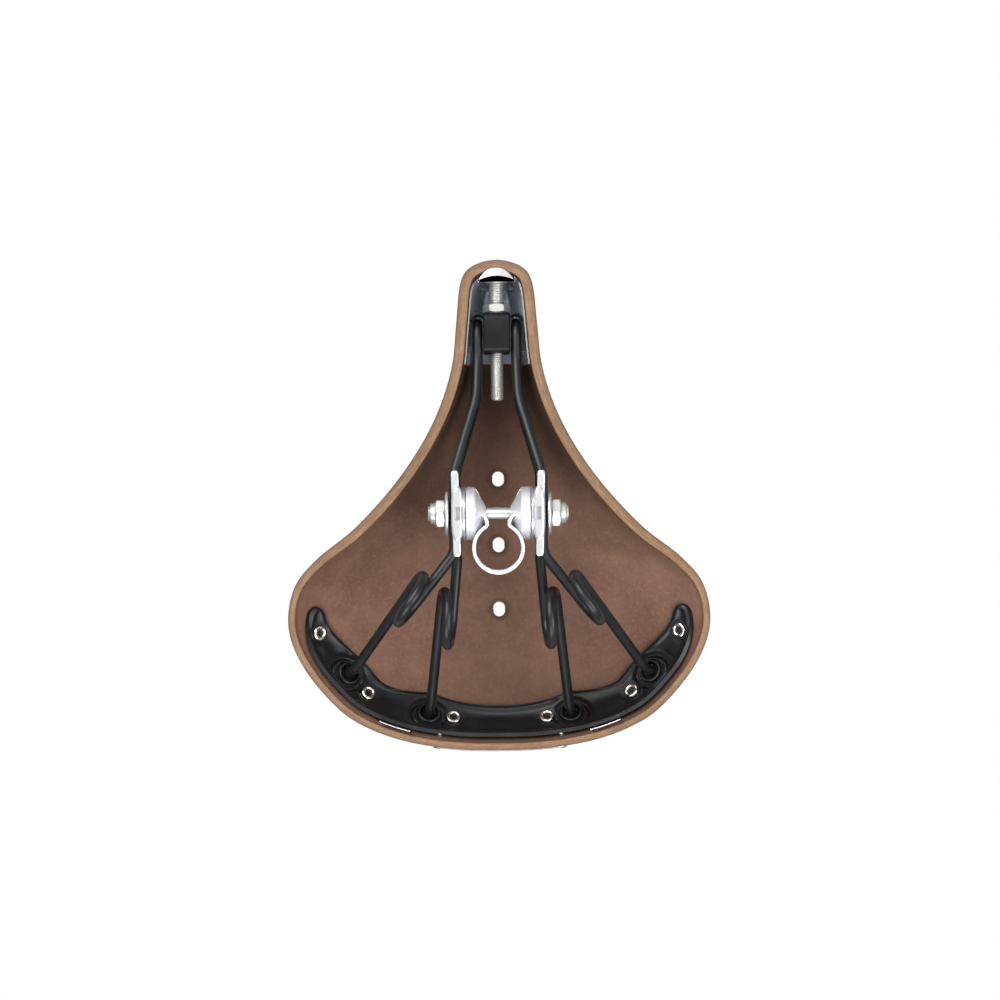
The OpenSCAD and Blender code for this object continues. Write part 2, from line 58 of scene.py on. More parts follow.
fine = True


def mix(a, b, t):
    return a + (b - a) * t


def ease(lo, hi, x):
    t = np.clip((x - lo) / (hi - lo), 0, 1)
    return t * t * (3 - 2 * t)


def unit(v):
    v = np.asarray(v, float)
    return v / np.linalg.norm(v, axis=-1, keepdims=True)


# ---------------------------------------------------------------- materials
class Nodes:
    """Node tree of a new material or world, with short calls for the nodes used here."""

    def __init__(self, name, makers=bpy.data.materials, shader="Principled BSDF"):
        self.owner = makers.new(name)
        self.owner.use_nodes = True
        self.tree = self.owner.node_tree
        self.shader = self.tree.nodes[shader]

    def add(self, kind, settings=None, **sockets):
        node = self.tree.nodes.new(kind)
        for key, value in (settings or {}).items():
            setattr(node, key, value)
        for key, value in sockets.items():
            self.put(node.inputs[key.replace("_", " ")], value)
        return node

    def put(self, socket, value):
        if isinstance(value, bpy.types.NodeSocket):
            self.tree.links.new(value, socket)
        elif isinstance(value, (tuple, list)) and socket.type == "RGBA" and len(value) == 3:
            socket.default_value = (*value, 1)
        else:
            socket.default_value = value

    def shade(self, **sockets):
        for key, value in sockets.items():
            self.put(self.shader.inputs[key.replace("_", " ")], value)

    def place(self):
        return self.add("ShaderNodeTexCoord").outputs["Object"]

    def stretched(self, source, scale):
        node = self.add("ShaderNodeMapping", Scale=scale)
        self.put(node.inputs["Vector"], source)
        return node.outputs["Vector"]

    def noise(self, source, scale, detail=3.0, roughness=0.55, distortion=0.0):
        node = self.add("ShaderNodeTexNoise", Scale=scale, Detail=detail, Roughness=roughness,
                        Distortion=distortion)
        self.put(node.inputs["Vector"], source)
        return node.outputs["Fac"]

    def cells(self, source, scale):
        node = self.add("ShaderNodeTexVoronoi", Scale=scale)
        self.put(node.inputs["Vector"], source)
        return node.outputs["Distance"]

    def remap(self, value, lo, hi, to_lo=0.0, to_hi=1.0):
        node = self.add("ShaderNodeMapRange", None, From_Min=lo, From_Max=hi, To_Min=to_lo,
                        To_Max=to_hi)
        self.put(node.inputs["Value"], value)
        return node.outputs["Result"]

    def maths(self, operation, a, b=0.0):
        node = self.add("ShaderNodeMath", {"operation": operation})
        self.put(node.inputs[0], a)
        self.put(node.inputs[1], b)
        return node.outputs[0]

    def colours(self, factor, a, b):
        node = self.add("ShaderNodeMix", {"data_type": "RGBA"})
        self.put(node.inputs[0], factor)
        self.put(node.inputs[6], a)
        self.put(node.inputs[7], b)
        return node.outputs[2]

    def bump(self, height, distance, strength=1.0, normal=None):
        node = self.add("ShaderNodeBump", Strength=strength, Distance=distance)
        self.put(node.inputs["Height"], height)
        if normal is not None:
            self.put(node.inputs["Normal"], normal)
        return node.outputs["Normal"]

    def strip(self):
        """Millimetres along the rim, and from the rim or the outer face, kept as a UV map."""
        node = self.add("ShaderNodeUVMap", {"uv_map": "strip"})
        parts = self.add("ShaderNodeSeparateXYZ")
        self.put(parts.inputs[0], node.outputs["UV"])
        return parts.outputs["X"], parts.outputs["Y"], node.outputs["UV"]


def outer_leather():
    m = Nodes("leather_outside")
    at = m.place()
    _, rim, _ = m.strip()
    pores = m.cells(at, 900)
    grain = m.noise(at, 420, 5, 0.6)
    clouds = m.noise(at, 26, 4, 0.6)
    base = m.colours(m.remap(clouds, 0.35, 0.68), (0.120, 0.052, 0.024), (0.215, 0.098, 0.046))
    base = m.colours(m.remap(grain, 0.35, 0.7, 0.0, 0.45), base, (0.085, 0.036, 0.018))
    worn = m.maths("MULTIPLY", m.remap(rim, 0.0, 7.0, 0.75, 0.0), m.remap(clouds, 0.3, 0.6))
    base = m.colours(worn, base, (0.30, 0.155, 0.080))
    rough = m.remap(grain, 0.3, 0.7, 0.30, 0.50)
    pits = m.remap(pores, 0.0, 0.32)
    normal = m.bump(m.maths("ADD", pits, m.maths("MULTIPLY", grain, 0.8)), 0.00016, 0.6)
    m.shade(Base_Color=base, Roughness=rough, Normal=normal)
    m.shade(Coat_Weight=0.18, Coat_Roughness=0.28)
    return m.owner


def cut_leather():
    m = Nodes("leather_cut_edge")
    _, depth, strip = m.strip()
    at = m.place()
    fibres = m.noise(m.stretched(strip, (0.10, 1.0, 1)), 1.0, 5, 0.62)
    flecks = m.noise(m.stretched(strip, (0.7, 1.5, 1)), 1.0, 3, 0.65)
    patches = m.noise(at, 45, 4, 0.6)
    base = m.colours(m.remap(fibres, 0.34, 0.66), (0.130, 0.072, 0.040), (0.250, 0.158, 0.094))
    base = m.colours(m.remap(patches, 0.40, 0.62, 0.0, 0.6), base, (0.150, 0.083, 0.046))
    base = m.colours(m.remap(flecks, 0.58, 0.74, 0.0, 0.6), base, (0.340, 0.235, 0.150))
    base = m.colours(m.remap(flecks, 0.28, 0.42, 0.5, 0.0), base, (0.085, 0.042, 0.025))
    base = m.colours(m.remap(depth, 0.5, 2.6, 0.55, 0.0), base, (0.095, 0.046, 0.025))
    base = m.colours(m.remap(depth, 0.0, 0.7, 1.0, 0.0), base, (0.075, 0.036, 0.020))
    base = m.colours(m.remap(depth, 4.4, 5.0, 0.0, 0.5), base, (0.150, 0.080, 0.050))
    normal = m.bump(m.maths("ADD", fibres, m.maths("MULTIPLY", flecks, 0.6)), 0.0005, 0.55)
    m.shade(Base_Color=base, Roughness=0.80, Normal=normal)
    m.shade(Specular_IOR_Level=0.3)
    return m.owner


def flesh_leather():
    m = Nodes("leather_flesh_side")
    at = m.place()
    parts = m.add("ShaderNodeSeparateXYZ")
    m.put(parts.inputs[0], at)
    _, rim, _ = m.strip()
    clouds = m.noise(at, 17, 4, 0.6, 0.3)
    mottles = m.noise(at, 95, 5, 0.65)
    nap = m.noise(at, 1100, 3, 0.7)
    fibres = m.noise(at, 560, 5, 0.75)
    base = m.colours(m.remap(clouds, 0.34, 0.68), (0.122, 0.064, 0.045), (0.168, 0.094, 0.067))
    base = m.colours(m.remap(mottles, 0.38, 0.66, 0.0, 0.5), base, (0.092, 0.048, 0.034))
    base = m.colours(m.remap(fibres, 0.5, 0.72, 0.0, 0.42), base, (0.225, 0.140, 0.105))
    # Painted shade: the flesh side darkens towards the nose, deep inside the shell.
    nose_shade = m.remap(parts.outputs["Y"], -0.085, -0.015, 0.70, 0.0)
    base = m.colours(nose_shade, base, (0.040, 0.021, 0.014))
    # Painted shade: the flesh side darkens towards its middle, deep in the shell under the wires
    # and clamp.
    middle = m.remap(m.maths("ABSOLUTE", parts.outputs["X"]), 0.004, 0.058, 0.40, 0.0)
    base = m.colours(middle, base, (0.040, 0.021, 0.014))
    base = m.colours(m.remap(rim, 0.0, 16.0, 0.5, 0.0), base, (0.120, 0.060, 0.037))
    flat = m.stretched(at, (1, 1, 0))
    # Painted shade: the flesh side darkens round each vent opening.
    for y in VENT_Y:
        gap = m.add("ShaderNodeVectorMath", {"operation": "DISTANCE"})
        m.put(gap.inputs[0], flat)
        m.put(gap.inputs[1], (0, y * MM, 0))
        ring = m.remap(gap.outputs["Value"], 0.0034, 0.0066, 0.8, 0.0)
        base = m.colours(ring, base, (0.034, 0.017, 0.011))
    height = m.maths("ADD", m.maths("MULTIPLY", nap, 0.7), fibres)
    normal = m.bump(height, 0.00035, 0.55, m.bump(mottles, 0.0008, 0.35))
    m.shade(Base_Color=base, Roughness=0.92, Normal=normal)
    m.shade(Specular_IOR_Level=0.15)
    return m.owner


def enamel(name, gloss):
    m = Nodes(name)
    at = m.place()
    peel = m.noise(at, 380, 2, 0.5)
    dust = m.noise(at, 60, 5, 0.65)
    rough = m.remap(dust, 0.35, 0.75, 0.33, 0.43)
    base = m.colours(m.remap(dust, 0.5, 0.8), (0.0048, 0.0051, 0.0064), (0.0105, 0.0110, 0.0130))
    m.shade(Base_Color=base, Roughness=rough, Normal=m.bump(peel, 0.00004, 0.4))
    m.shade(Specular_IOR_Level=gloss)
    return m.owner


def plating(name, colour, dull, rough_lo, rough_hi, brushed=0.0, metal=1.0):
    m = Nodes(name)
    at = m.place()
    haze = m.noise(at, 70, 4, 0.6)
    specks = m.noise(at, 700, 2, 0.6)
    rough = m.remap(haze, 0.3, 0.75, rough_lo, rough_hi)
    base = m.colours(m.remap(haze, 0.45, 0.8, 0.0, 0.6), colour, dull)
    wave = m.maths("ADD", haze, m.maths("MULTIPLY", specks, 0.25 + brushed))
    m.shade(Base_Color=base, Roughness=rough, Normal=m.bump(wave, 0.00008, 0.35))
    m.shade(Metallic=metal)
    return m.owner


LEATHER = [outer_leather(), cut_leather(), flesh_leather()]
ENAMEL = enamel("black_enamel", 0.36)
DULL_ENAMEL = enamel("black_enamel_flat", 0.17)
CHROME = plating("chrome_plate", (0.86, 0.87, 0.885), (0.76, 0.77, 0.80), 0.15, 0.27)
SATIN = plating("satin_chrome", (0.57, 0.58, 0.60), (0.42, 0.43, 0.46), 0.20, 0.34, 0.0, 0.68)
# Painted shade: a darker copy of the satin plating for the floor of the clamp shoe's pocket.
POCKET_SHADE = plating("pocket_painted_shade", (0.41, 0.42, 0.435), (0.30, 0.31, 0.33), 0.20, 0.34, 0.0, 0.68)
PRESSED = plating("pressed_chrome", (0.70, 0.71, 0.73), (0.50, 0.51, 0.54), 0.18, 0.34, 0.0, 0.50)
NICKEL = plating("nickel_plate", (0.74, 0.68, 0.625), (0.52, 0.46, 0.41), 0.16, 0.30)
ZINC = plating("bright_zinc", (0.49, 0.495, 0.475), (0.39, 0.395, 0.37), 0.32, 0.48, 0.3, 0.70)
# Painted shade: a darker copy of the plating for faces deep inside the nose.
SHADED = plating("inner_plate_painted_shade", (0.50, 0.53, 0.58), (0.24, 0.26, 0.29), 0.24, 0.42, 0.0, 0.62)


# ---------------------------------------------------------------- meshes
def new_object(name, points, faces, materials, which, uv=None):
    """Object from points in millimetres, with a material index for each face."""
    mesh = bpy.data.meshes.new(name)
    mesh.from_pydata([tuple(p * MM) for p in points], [], faces)
    if uv is not None:
        layer = mesh.uv_layers.new(name="strip")
        layer.data.foreach_set("uv", np.array(uv).ravel())
    mesh.polygons.foreach_set("material_index", np.array(which, dtype=np.int32))
    for m in materials:
        mesh.materials.append(m)
    obj = bpy.data.objects.new(name, mesh)
    bpy.context.scene.collection.objects.link(obj)
    return obj


def shade(obj, sharp):
    obj.data.shade_smooth()
    obj.data.set_sharp_from_angle(angle=math.radians(sharp))


def outward(points, faces):
    """Faces of a closed mesh, all turned over if they face inwards."""
    fans = np.array([(f[0], a, b) for f in faces for a, b in zip(f[1:], f[2:])])
    a, b, c = points[fans].transpose(1, 0, 2)
    return faces if np.sum(a * np.cross(b, c)) > 0 else [f[::-1] for f in faces]


def piece(name, parts, body, materials, replaces, sharp=35):
    """One object from closed parts: (points, faces) or (points, faces, material index)."""
    points, faces, which = [], [], []
    for part in parts:
        p, f, index = (*part, 0)[:3]
        faces += [[k + len(points) for k in face] for face in outward(p, f)]
        points += list(p)
        which += [index] * len(f) if np.isscalar(index) else list(index)
    materials = materials if isinstance(materials, list) else [materials]
    obj = new_object(name, points, faces, materials, which)
    shade(obj, sharp)
    if body:
        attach(obj, body)
    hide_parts(replaces)
    return obj


def bake(obj):
    """Applies an object's modifiers."""
    graph = bpy.context.evaluated_depsgraph_get()
    done = bpy.data.meshes.new_from_object(obj.evaluated_get(graph), depsgraph=graph)
    obj.modifiers.clear()
    old, obj.data = obj.data, done
    name = old.name
    bpy.data.meshes.remove(old)
    done.name = name


def cut(obj, tool):
    """Takes the tool's shape out of an object and removes the tool."""
    step = obj.modifiers.new("cut", "BOOLEAN")
    step.object, step.operation, step.solver = tool, "DIFFERENCE", "EXACT"
    bake(obj)
    bpy.data.objects.remove(tool)


def ring_faces(rings, n):
    """Quads between rings of n points each, with a face over both ends."""
    faces = [[i * n + k, i * n + (k + 1) % n, (i + 1) * n + (k + 1) % n, (i + 1) * n + k]
             for i in range(rings - 1) for k in range(n)]
    return faces + [list(range(n))[::-1], [(rings - 1) * n + k for k in range(n)]]


def shell(outer, inner, opening=(0, 0, 0, 0)):
    """Closed mesh between two grids of points of one size.

    The opening leaves out the cells from one column to another and from one row to another.
    """
    columns, rows = outer.shape[:2]
    n = columns * rows
    c0, c1, r0, r1 = opening
    faces = [[i * rows + k, (i + 1) * rows + k, (i + 1) * rows + k + 1, i * rows + k + 1]
             for i in range(columns - 1) for k in range(rows - 1)
             if not (c0 <= i < c1 and r0 <= k < r1)]
    back = [[v + n for v in f[::-1]] for f in faces]
    edges = dict.fromkeys((a, b) for f in faces for a, b in zip(f, f[1:] + f[:1]))
    walls = [[b, a, a + n, b + n] for a, b in edges if (b, a) not in edges]
    return np.concatenate([outer.reshape(-1, 3), inner.reshape(-1, 3)]), faces + back + walls


def lathe(profile, sides=48, radius=None):
    """Solid of revolution about +Z from (r, z) points; r = 0 at both ends closes it."""
    angles = np.arange(sides) * 2 * math.pi / sides
    profile = np.asarray(profile, float)
    points, index = [], []
    for r, z in profile:
        if r < 1e-6:
            index.append([len(points)] * sides)
            points.append((0, 0, z))
        else:
            index.append(list(range(len(points), len(points) + sides)))
            for t in angles:
                reach = radius(r, z, t) if radius else (r, z)
                points.append((reach[0] * math.cos(t), reach[0] * math.sin(t), reach[1]))
    faces = []
    for a, b in zip(index, index[1:]):
        for k in range(sides):
            k2 = (k + 1) % sides
            face = [a[k], a[k2], b[k2], b[k]]
            face = [v for n, v in enumerate(face) if v not in face[:n]]
            if len(face) > 2:
                faces.append(face)
    return np.array(points), faces


def moved(part, matrix):
    m = np.array(matrix)
    return (part[0] @ m[:3, :3].T + m[:3, 3], *part[1:])


def mirror(part):
    return moved(part, Matrix.Scale(-1, 4, (1, 0, 0)))


def aim(p, v):
    """Turns +Z to the direction v and moves the origin to p."""
    return Matrix.Translation(Vector(p)) @ Vector(v).to_track_quat("Z", "Y").to_matrix().to_4x4()


def rounded(profile, r, steps=4):
    """Rounds the inner corners of an (x, y) polyline."""
    pts = [np.asarray(p, float) for p in profile]
    out = [pts[0]]
    for a, b, c in zip(pts, pts[1:], pts[2:]):
        la, lc = np.linalg.norm(a - b), np.linalg.norm(c - b)
        if la < 1e-6 or lc < 1e-6:
            continue
        reach = min(r, la * 0.45, lc * 0.45)
        p, q = b + (a - b) / la * reach, b + (c - b) / lc * reach
        for k in range(steps + 1):
            t = k / steps
            out.append((1 - t) ** 2 * p + 2 * t * (1 - t) * b + t * t * q)
    return np.array(out + [pts[-1]])


def slab(outline, z0, z1, r, steps):
    """Plate between z0 and z1 from a closed counter-clockwise outline, its rims rounded."""
    outline = np.asarray(outline, float)
    tangent = unit(np.roll(outline, -1, 0) - np.roll(outline, 1, 0))
    inward = np.stack([-tangent[:, 1], tangent[:, 0]], 1)
    turn = math.pi / 2 * np.arange(steps + 1) / steps
    rims = ([(t, z0 + r * (1 - math.cos(t))) for t in turn]
            + [(t, z1 - r * (1 - math.cos(t))) for t in turn[::-1]])
    points = [np.column_stack([outline + inward * r * (1 - math.sin(t)),
                               np.full(len(outline), z)]) for t, z in rims]
    return np.concatenate(points), ring_faces(len(points), len(outline))


# ---------------------------------------------------------------- the moulded surface
EDGE = np.array([
    (0, -140.8, 8), (12.2, -137.4, 7), (17.6, -129, 5.5), (19.8, -109, 4.5), (22, -89, 5.5),
    (28.2, -69, 8), (38.2, -49.5, 11.5), (52.6, -29.5, 16), (71.4, -9.5, 20),
    (90.3, 5.5, 23.5), (101.9, 20, 26), (104.9, 40, 28), (97.3, 60, 29), (80.9, 80, 30),
    (65.8, 90.1, 30.5), (46, 97.2, 31.5), (22.8, 101, 32.5), (0, 101.8, 33),
], float)
RIDGE = np.array([
    (-124, 51.5), (-104, 51.5), (-84, 49.8), (-64, 48.4), (-44, 48), (-24, 49), (-4, 51.2),
    (16, 54.5), (36, 58.8), (52, 62), (66, 63),
], float)
LAST_U = len(EDGE) - 1
NOSE_Y, REAR_Y = RIDGE[0, 0], RIDGE[-1, 0]
flip_x = np.array([-1, 1, 1])
EDGE_KNOTS = np.concatenate([[EDGE[1] * flip_x], EDGE, [EDGE[-2] * flip_x]])
RIDGE_KNOTS = np.concatenate([[RIDGE[1, 1]], RIDGE[:, 1], [RIDGE[-2, 1]]])


def spline(a, b, c, d, t):
    return 0.5 * (2 * b + (c - a) * t + (2 * a - 5 * b + 4 * c - d) * t * t
                  + (3 * b - a - 3 * c + d) * t ** 3)


def edge_point(u):
    u = np.asarray(u, float)
    i = np.clip(np.floor(u).astype(int), 0, LAST_U - 1)
    t = (u - i)[..., None]
    return spline(EDGE_KNOTS[i], EDGE_KNOTS[i + 1], EDGE_KNOTS[i + 2], EDGE_KNOTS[i + 3], t)


def ridge_z(y):
    y = np.clip(y, NOSE_Y, REAR_Y)
    i = np.clip(np.searchsorted(RIDGE[:, 0], y, side="right") - 1, 0, len(RIDGE) - 2)
    t = (y - RIDGE[i, 0]) / (RIDGE[i + 1, 0] - RIDGE[i, 0])
    return spline(RIDGE_KNOTS[i], RIDGE_KNOTS[i + 1], RIDGE_KNOTS[i + 2], RIDGE_KNOTS[i + 3], t)


def across_power(y):
    return mix(mix(4.2, 2.4, ease(-110, -40, y)), 3, ease(-20, 66, y))


def up_power(y):
    return mix(mix(2.2, 1.7, ease(-110, -40, y)), 2.1, ease(-20, 66, y))


def skin(side, u, a):
    """Outer surface: u runs nose to rear, a is 0 at the ridge and 90 at the lower edge."""
    u, a = np.broadcast_arrays(np.asarray(u, float), np.asarray(a, float))
    e = edge_point(u)
    sy = np.clip(e[..., 1], NOSE_Y, REAR_Y)
    sz = ridge_z(sy)
    s = np.maximum(np.sin(np.radians(a)), 0) ** (2 / across_power(e[..., 1]))
    h = np.maximum(np.cos(np.radians(a)), 0) ** (2 / up_power(e[..., 1]))
    return np.stack([side * e[..., 0] * s, sy + (e[..., 1] - sy) * s,
                     e[..., 2] + (sz - e[..., 2]) * h], -1)


def skin_normal(side, u, a):
    u, a = np.broadcast_arrays(np.asarray(u, float), np.asarray(a, float))
    along = skin(side, np.minimum(u + 0.02, LAST_U), a) - skin(side, np.maximum(u - 0.02, 0), a)
    down = skin(side, u, np.minimum(a + 0.5, 90)) - skin(side, u, np.maximum(a - 0.5, 0.02))
    n = np.cross(along, down)
    size = np.linalg.norm(n, axis=-1, keepdims=True)
    n = -np.asarray(side, float)[..., None] * n / np.maximum(size, 1e-12)
    y = np.clip(edge_point(u)[..., 1], NOSE_Y, REAR_Y)
    top = unit(np.stack([np.zeros_like(y), ridge_z(y - 0.5) - ridge_z(y + 0.5),
                         np.ones_like(y)], -1))
    return np.where((a < 0.5)[..., None] | (size < 1e-9), top, n)


def under(side, u, a, depth):
    depth = np.asarray(depth, float)
    return skin(side, u, a) - depth[..., None] * skin_normal(side, u, a)


# ---------------------------------------------------------------- leather
LEATHER_T = 5.0
CUT_R = 0.55
SKIVED_T = 3.5
VENT_L, VENT_W = 7.4, 5.8
OUTSIDE, CUT_EDGE, FLESH = range(3)


def leather():
    """One skin out over the top, round the cut edge and back under to the ridge."""
    per_u, rows = (14, 60) if fine else (8, 36)
    half = LAST_U * per_u
    us = np.concatenate([np.linspace(0, LAST_U, half + 1),
                         np.linspace(LAST_U, 0, half + 1)[1:-1]])
    sides = np.array([LEFT] * (half + 1) + [RIGHT] * (half - 1))
    n = len(us)
    angles = 90 * (np.arange(rows + 1) / rows) ** 1.7
    edge = skin(sides, us, 90.0)
    steps = np.linalg.norm(np.roll(edge, -1, 0) - edge, axis=1)
    along = np.concatenate([[0], np.cumsum(steps)])
    normal = skin_normal(sides, us, 90.0)
    beyond = unit(edge - skin(sides, us, 88.0))
    rim_t = mix(LEATHER_T, SKIVED_T, ease(7, 11, us))[:, None]

    rings = [skin(sides, us, np.full(n, a)) for a in angles[:-1]]
    strip = [np.linalg.norm(r - edge, axis=1) for r in rings]
    kinds = [OUTSIDE] * len(rings)
    corner = np.linspace(0, math.pi / 2, 5)
    cut_edge = ([(CUT_R * (1 - math.cos(t)), CUT_R * (1 - math.sin(t))) for t in corner]
                + [(LEATHER_T - CUT_R * (1 - math.cos(t)), CUT_R * (1 - math.sin(t)))
                   for t in corner[::-1]])
    for depth, short in cut_edge:
        rings.append(edge - depth / LEATHER_T * rim_t * normal - short * beyond)
        strip.append(np.full(n, depth))
        kinds.append(CUT_EDGE)
    foot = edge - LEATHER_T * normal
    for a in angles[:-1][::-1]:
        whole = under(sides, us, np.full(n, a), np.full(n, LEATHER_T))
        away = np.linalg.norm(whole - foot, axis=1)
        skived = mix(rim_t[:, 0], LEATHER_T, ease(1.0, 6.0, away))
        rings.append(under(sides, us, np.full(n, a), skived))
        strip.append(away)
        kinds.append(FLESH)

    faces, which, uv = [], [], []
    for j in range(len(rings) - 1):
        kind = CUT_EDGE if kinds[j] == CUT_EDGE else max(kinds[j], kinds[j + 1])
        for i in range(n):
            i2 = (i + 1) % n
            faces.append([j * n + i, (j + 1) * n + i, (j + 1) * n + i2, j * n + i2])
            which.append(kind)
            # Both ends of the cut edge count its depth from the outer face
            lo = 0.0 if kind == CUT_EDGE and kinds[j] == OUTSIDE else strip[j][i]
            hi = LEATHER_T if kind == CUT_EDGE and kinds[j + 1] == FLESH else strip[j + 1][i]
            uv += [(along[i], lo), (along[i], hi), (along[i + 1], hi), (along[i + 1], lo)]
    obj = new_object("leather_saddle_top", np.concatenate(rings), faces, LEATHER, which, uv)
    weld = obj.modifiers.new("weld", "WELD")
    weld.merge_threshold = 0.00002
    cut(obj, vent_cutter())
    shade(obj, 40)
    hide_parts("leather_top")
    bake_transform(obj)


def vent_cutter():
    """Three slots through the leather, flared a little where they meet its faces."""
    sides = 32
    rims = ((3, 1.3), (0.25, 0.55), (-0.8, 0), (-4.2, 0), (-5.3, 0.5), (-9, 1.6))
    t = np.arange(sides) * 2 * math.pi / sides
    shift = np.where(np.sin(t) >= 0, 1, -1) * (VENT_L - VENT_W) / 2
    points, faces = [], []
    for y in VENT_Y:
        ridge = float(ridge_z(np.array(y)))
        faces += [[len(points) * sides + v for v in f[::-1]]
                  for f in ring_faces(len(rims), sides)]
        for dz, grow in rims:
            r = VENT_W / 2 + grow
            points.append(np.column_stack([r * np.cos(t), y + r * np.sin(t) + shift,
                                           np.full(sides, ridge + dz)]))
    corners = sum(len(f) for f in faces)
    return new_object("vent_cutter", np.concatenate(points), faces, LEATHER,
                      [CUT_EDGE] * len(faces), np.tile([0.0, 4.6], corners))


# ---------------------------------------------------------------- cantle plate
PLATE_GAP = 0.2
CANTLE_T = 2.0
PLATE_D = LEATHER_T + PLATE_GAP
CANTLE_D = PLATE_D + CANTLE_T
CANTLE_TIP_U = 10.42
CROWDING = 1.6
SOCKETS = {"outer": (12.42, 60.0), "inner": (15.09, 54.0)}
SOCKET_NECK_R = 4.6
SOCKET_L = 8.4
REAR_RIVETS = ((11.12, 60.0), (12.93, 52.0), (15.59, 41.0))
BADGE_RIVETS = ((15.62, 78.0),)
NOSE_RIVETS = ((0.0, 50.0), (1.25, 50.0), (2.7, 50.0))
BADGE_TIP_U = 15.42
BAG_U, BAG_DU, BAG_T = 14.58, 0.4, 0.6
TAB_TOP, TAB_FOOT, TAB_LEAN = 29.5, 19.0, 1190


def cantle_reach(t):
    u = mix(CANTLE_TIP_U, LAST_U, t)
    opening = np.sqrt(1 - (1 - np.clip(t / 0.035, 0.0, 1)) ** 2)
    low = mix(mix(55, 36, ease(10.4, 12.3, u)), 19, ease(12.5, 13.6, u))
    high = mix(68, 86, ease(10.3, 12.3, u))
    return mix(61.2, low, opening), mix(61.3, high, opening)


def band_grid(tip_u, columns, rows, reach, crowding):
    """(side, u, a, share across) over a band round the rear, tip to tip."""
    w = np.linspace(-1, 1, columns + 1)
    t = (1 - np.abs(w)) ** crowding
    u = mix(tip_u, LAST_U, t)
    side = np.where(w < 0, LEFT, RIGHT)
    low, high = reach(t)
    k = np.linspace(0, 1, rows + 1)
    share = np.broadcast_to(k, (columns + 1, rows + 1))
    a = low[:, None] + (high - low)[:, None] * share
    return side[:, None] + 0 * a, u[:, None] + 0 * a, a, share


def rim_distances(grid):
    """Millimetres over a grid of points from its first row, its last row and its nearer tip."""
    across = np.linalg.norm(np.diff(grid, axis=1), axis=2)
    low = np.concatenate([np.zeros((len(grid), 1)), np.cumsum(across, 1)], 1)
    along = np.linalg.norm(np.diff(grid[:, grid.shape[1] // 2], axis=0), axis=1)
    run = np.concatenate([[0], np.cumsum(along)])
    return low, low[:, -1:] - low, np.minimum(run, run[-1] - run)[:, None] + 0 * low


def socket_frame(side, where):
    u, a = SOCKETS[where]
    return under(side, u, a, CANTLE_D), skin_normal(side, u, a)


def cantle_plate():
    columns, rows = (560, 56) if fine else (240, 28)
    side, u, a, share = band_grid(CANTLE_TIP_U, columns, rows, cantle_reach, CROWDING)
    inner = under(side, u, a, np.full(u.shape, CANTLE_D))
    normal = skin_normal(side, u, a)
    from_low, from_high, from_tip = rim_distances(inner)
    rim = np.minimum(np.minimum(from_low, from_high), from_tip + 0.8)
    bead = np.exp(-((rim - 2.1) / 1.8) ** 2) * 0.9
    roll = np.clip(1 - rim / 1.1, 0, 1) ** 2 * -1.1
    crown = 0.9 * np.exp(-((share - 0.5) / 0.17) ** 2) * ease(8, 22, from_tip)
    raised = bead + roll + crown
    for s in (LEFT, RIGHT):
        for where in SOCKETS:
            at, axis = socket_frame(s, where)
            gap = inner - at
            d = np.linalg.norm(gap - (gap @ axis)[..., None] * axis, axis=2)
            near = ease(14.5, 10.2, d)
            ring = 2.1 * ease(13.2, 9.4, d) - 0.9 * ease(9.6, 8.4, d)
            raised = mix(raised, ring, near)
        for ru, ra in REAR_RIVETS:
            at, axis = under(s, ru, ra, CANTLE_D), skin_normal(s, ru, ra)
            d = np.linalg.norm(inner - at, axis=2)
            raised = mix(raised, 0.1, ease(7.2, 4.4, d))
    raised *= ease(0.0, 3.0, rim + 0.4)
    flare = 1.2 * ease(5.0, 0.3, from_high) * ease(4, 16, from_tip)
    inner = inner - (raised + flare)[..., None] * normal
    joggle = np.where(np.abs(u - BAG_U) < BAG_DU + 0.25, BAG_T + 0.15, 0.0)
    outer = under(side, u, a, PLATE_D + 0.05 + np.maximum(joggle, flare))
    piece("cantle_plate_pressed", [shell(outer, inner)], "seat", ENAMEL,
          "cantle_plate", sharp=50)


def sockets():
    boss = rounded([(0, 0.6), (SOCKET_NECK_R, 0.6), (SOCKET_NECK_R, -1.0), (8.2, -1.0),
                    (8.6, -2.2), (8.2, -3.0), (7.2, -3.2), (0, -3.2)], 0.45)
    cup = rounded([(0, 3.0), (7.6, 3.0), (7.9, 1.4), (7.3, 0.5), (6.5, 0.5), (6.2, 1.2),
                   (5.9, 1.2), (5.7, -1.3), (5.3, -1.9), (4.7, -1.9), (4.4, -1.3),
                   (4.3, 1.5), (0, 1.5)], 0.35)
    for side, name in SIDES:
        for where in SOCKETS:
            at, axis = socket_frame(side, where)
            tipped = unit(0.7 * axis + 0.3 * np.array([0, 0, 1.0]))
            parts = [moved(lathe(boss, 64), aim(at, axis)),
                     moved(lathe(cup, 64), aim(at - 4.2 * axis, tipped))]
            piece(f"spring_socket_{where}_{name}_turned", parts, "seat",
                  ENAMEL, f"spring_socket_{where}_{name}", sharp=60)


# ---------------------------------------------------------------- rivets and badge
def at_rivets(places):
    for u, a in places:
        for side in ((LEFT,) if u == 0 else (LEFT, RIGHT)):
            yield side, aim(skin(side, u, a), skin_normal(side, u, a))


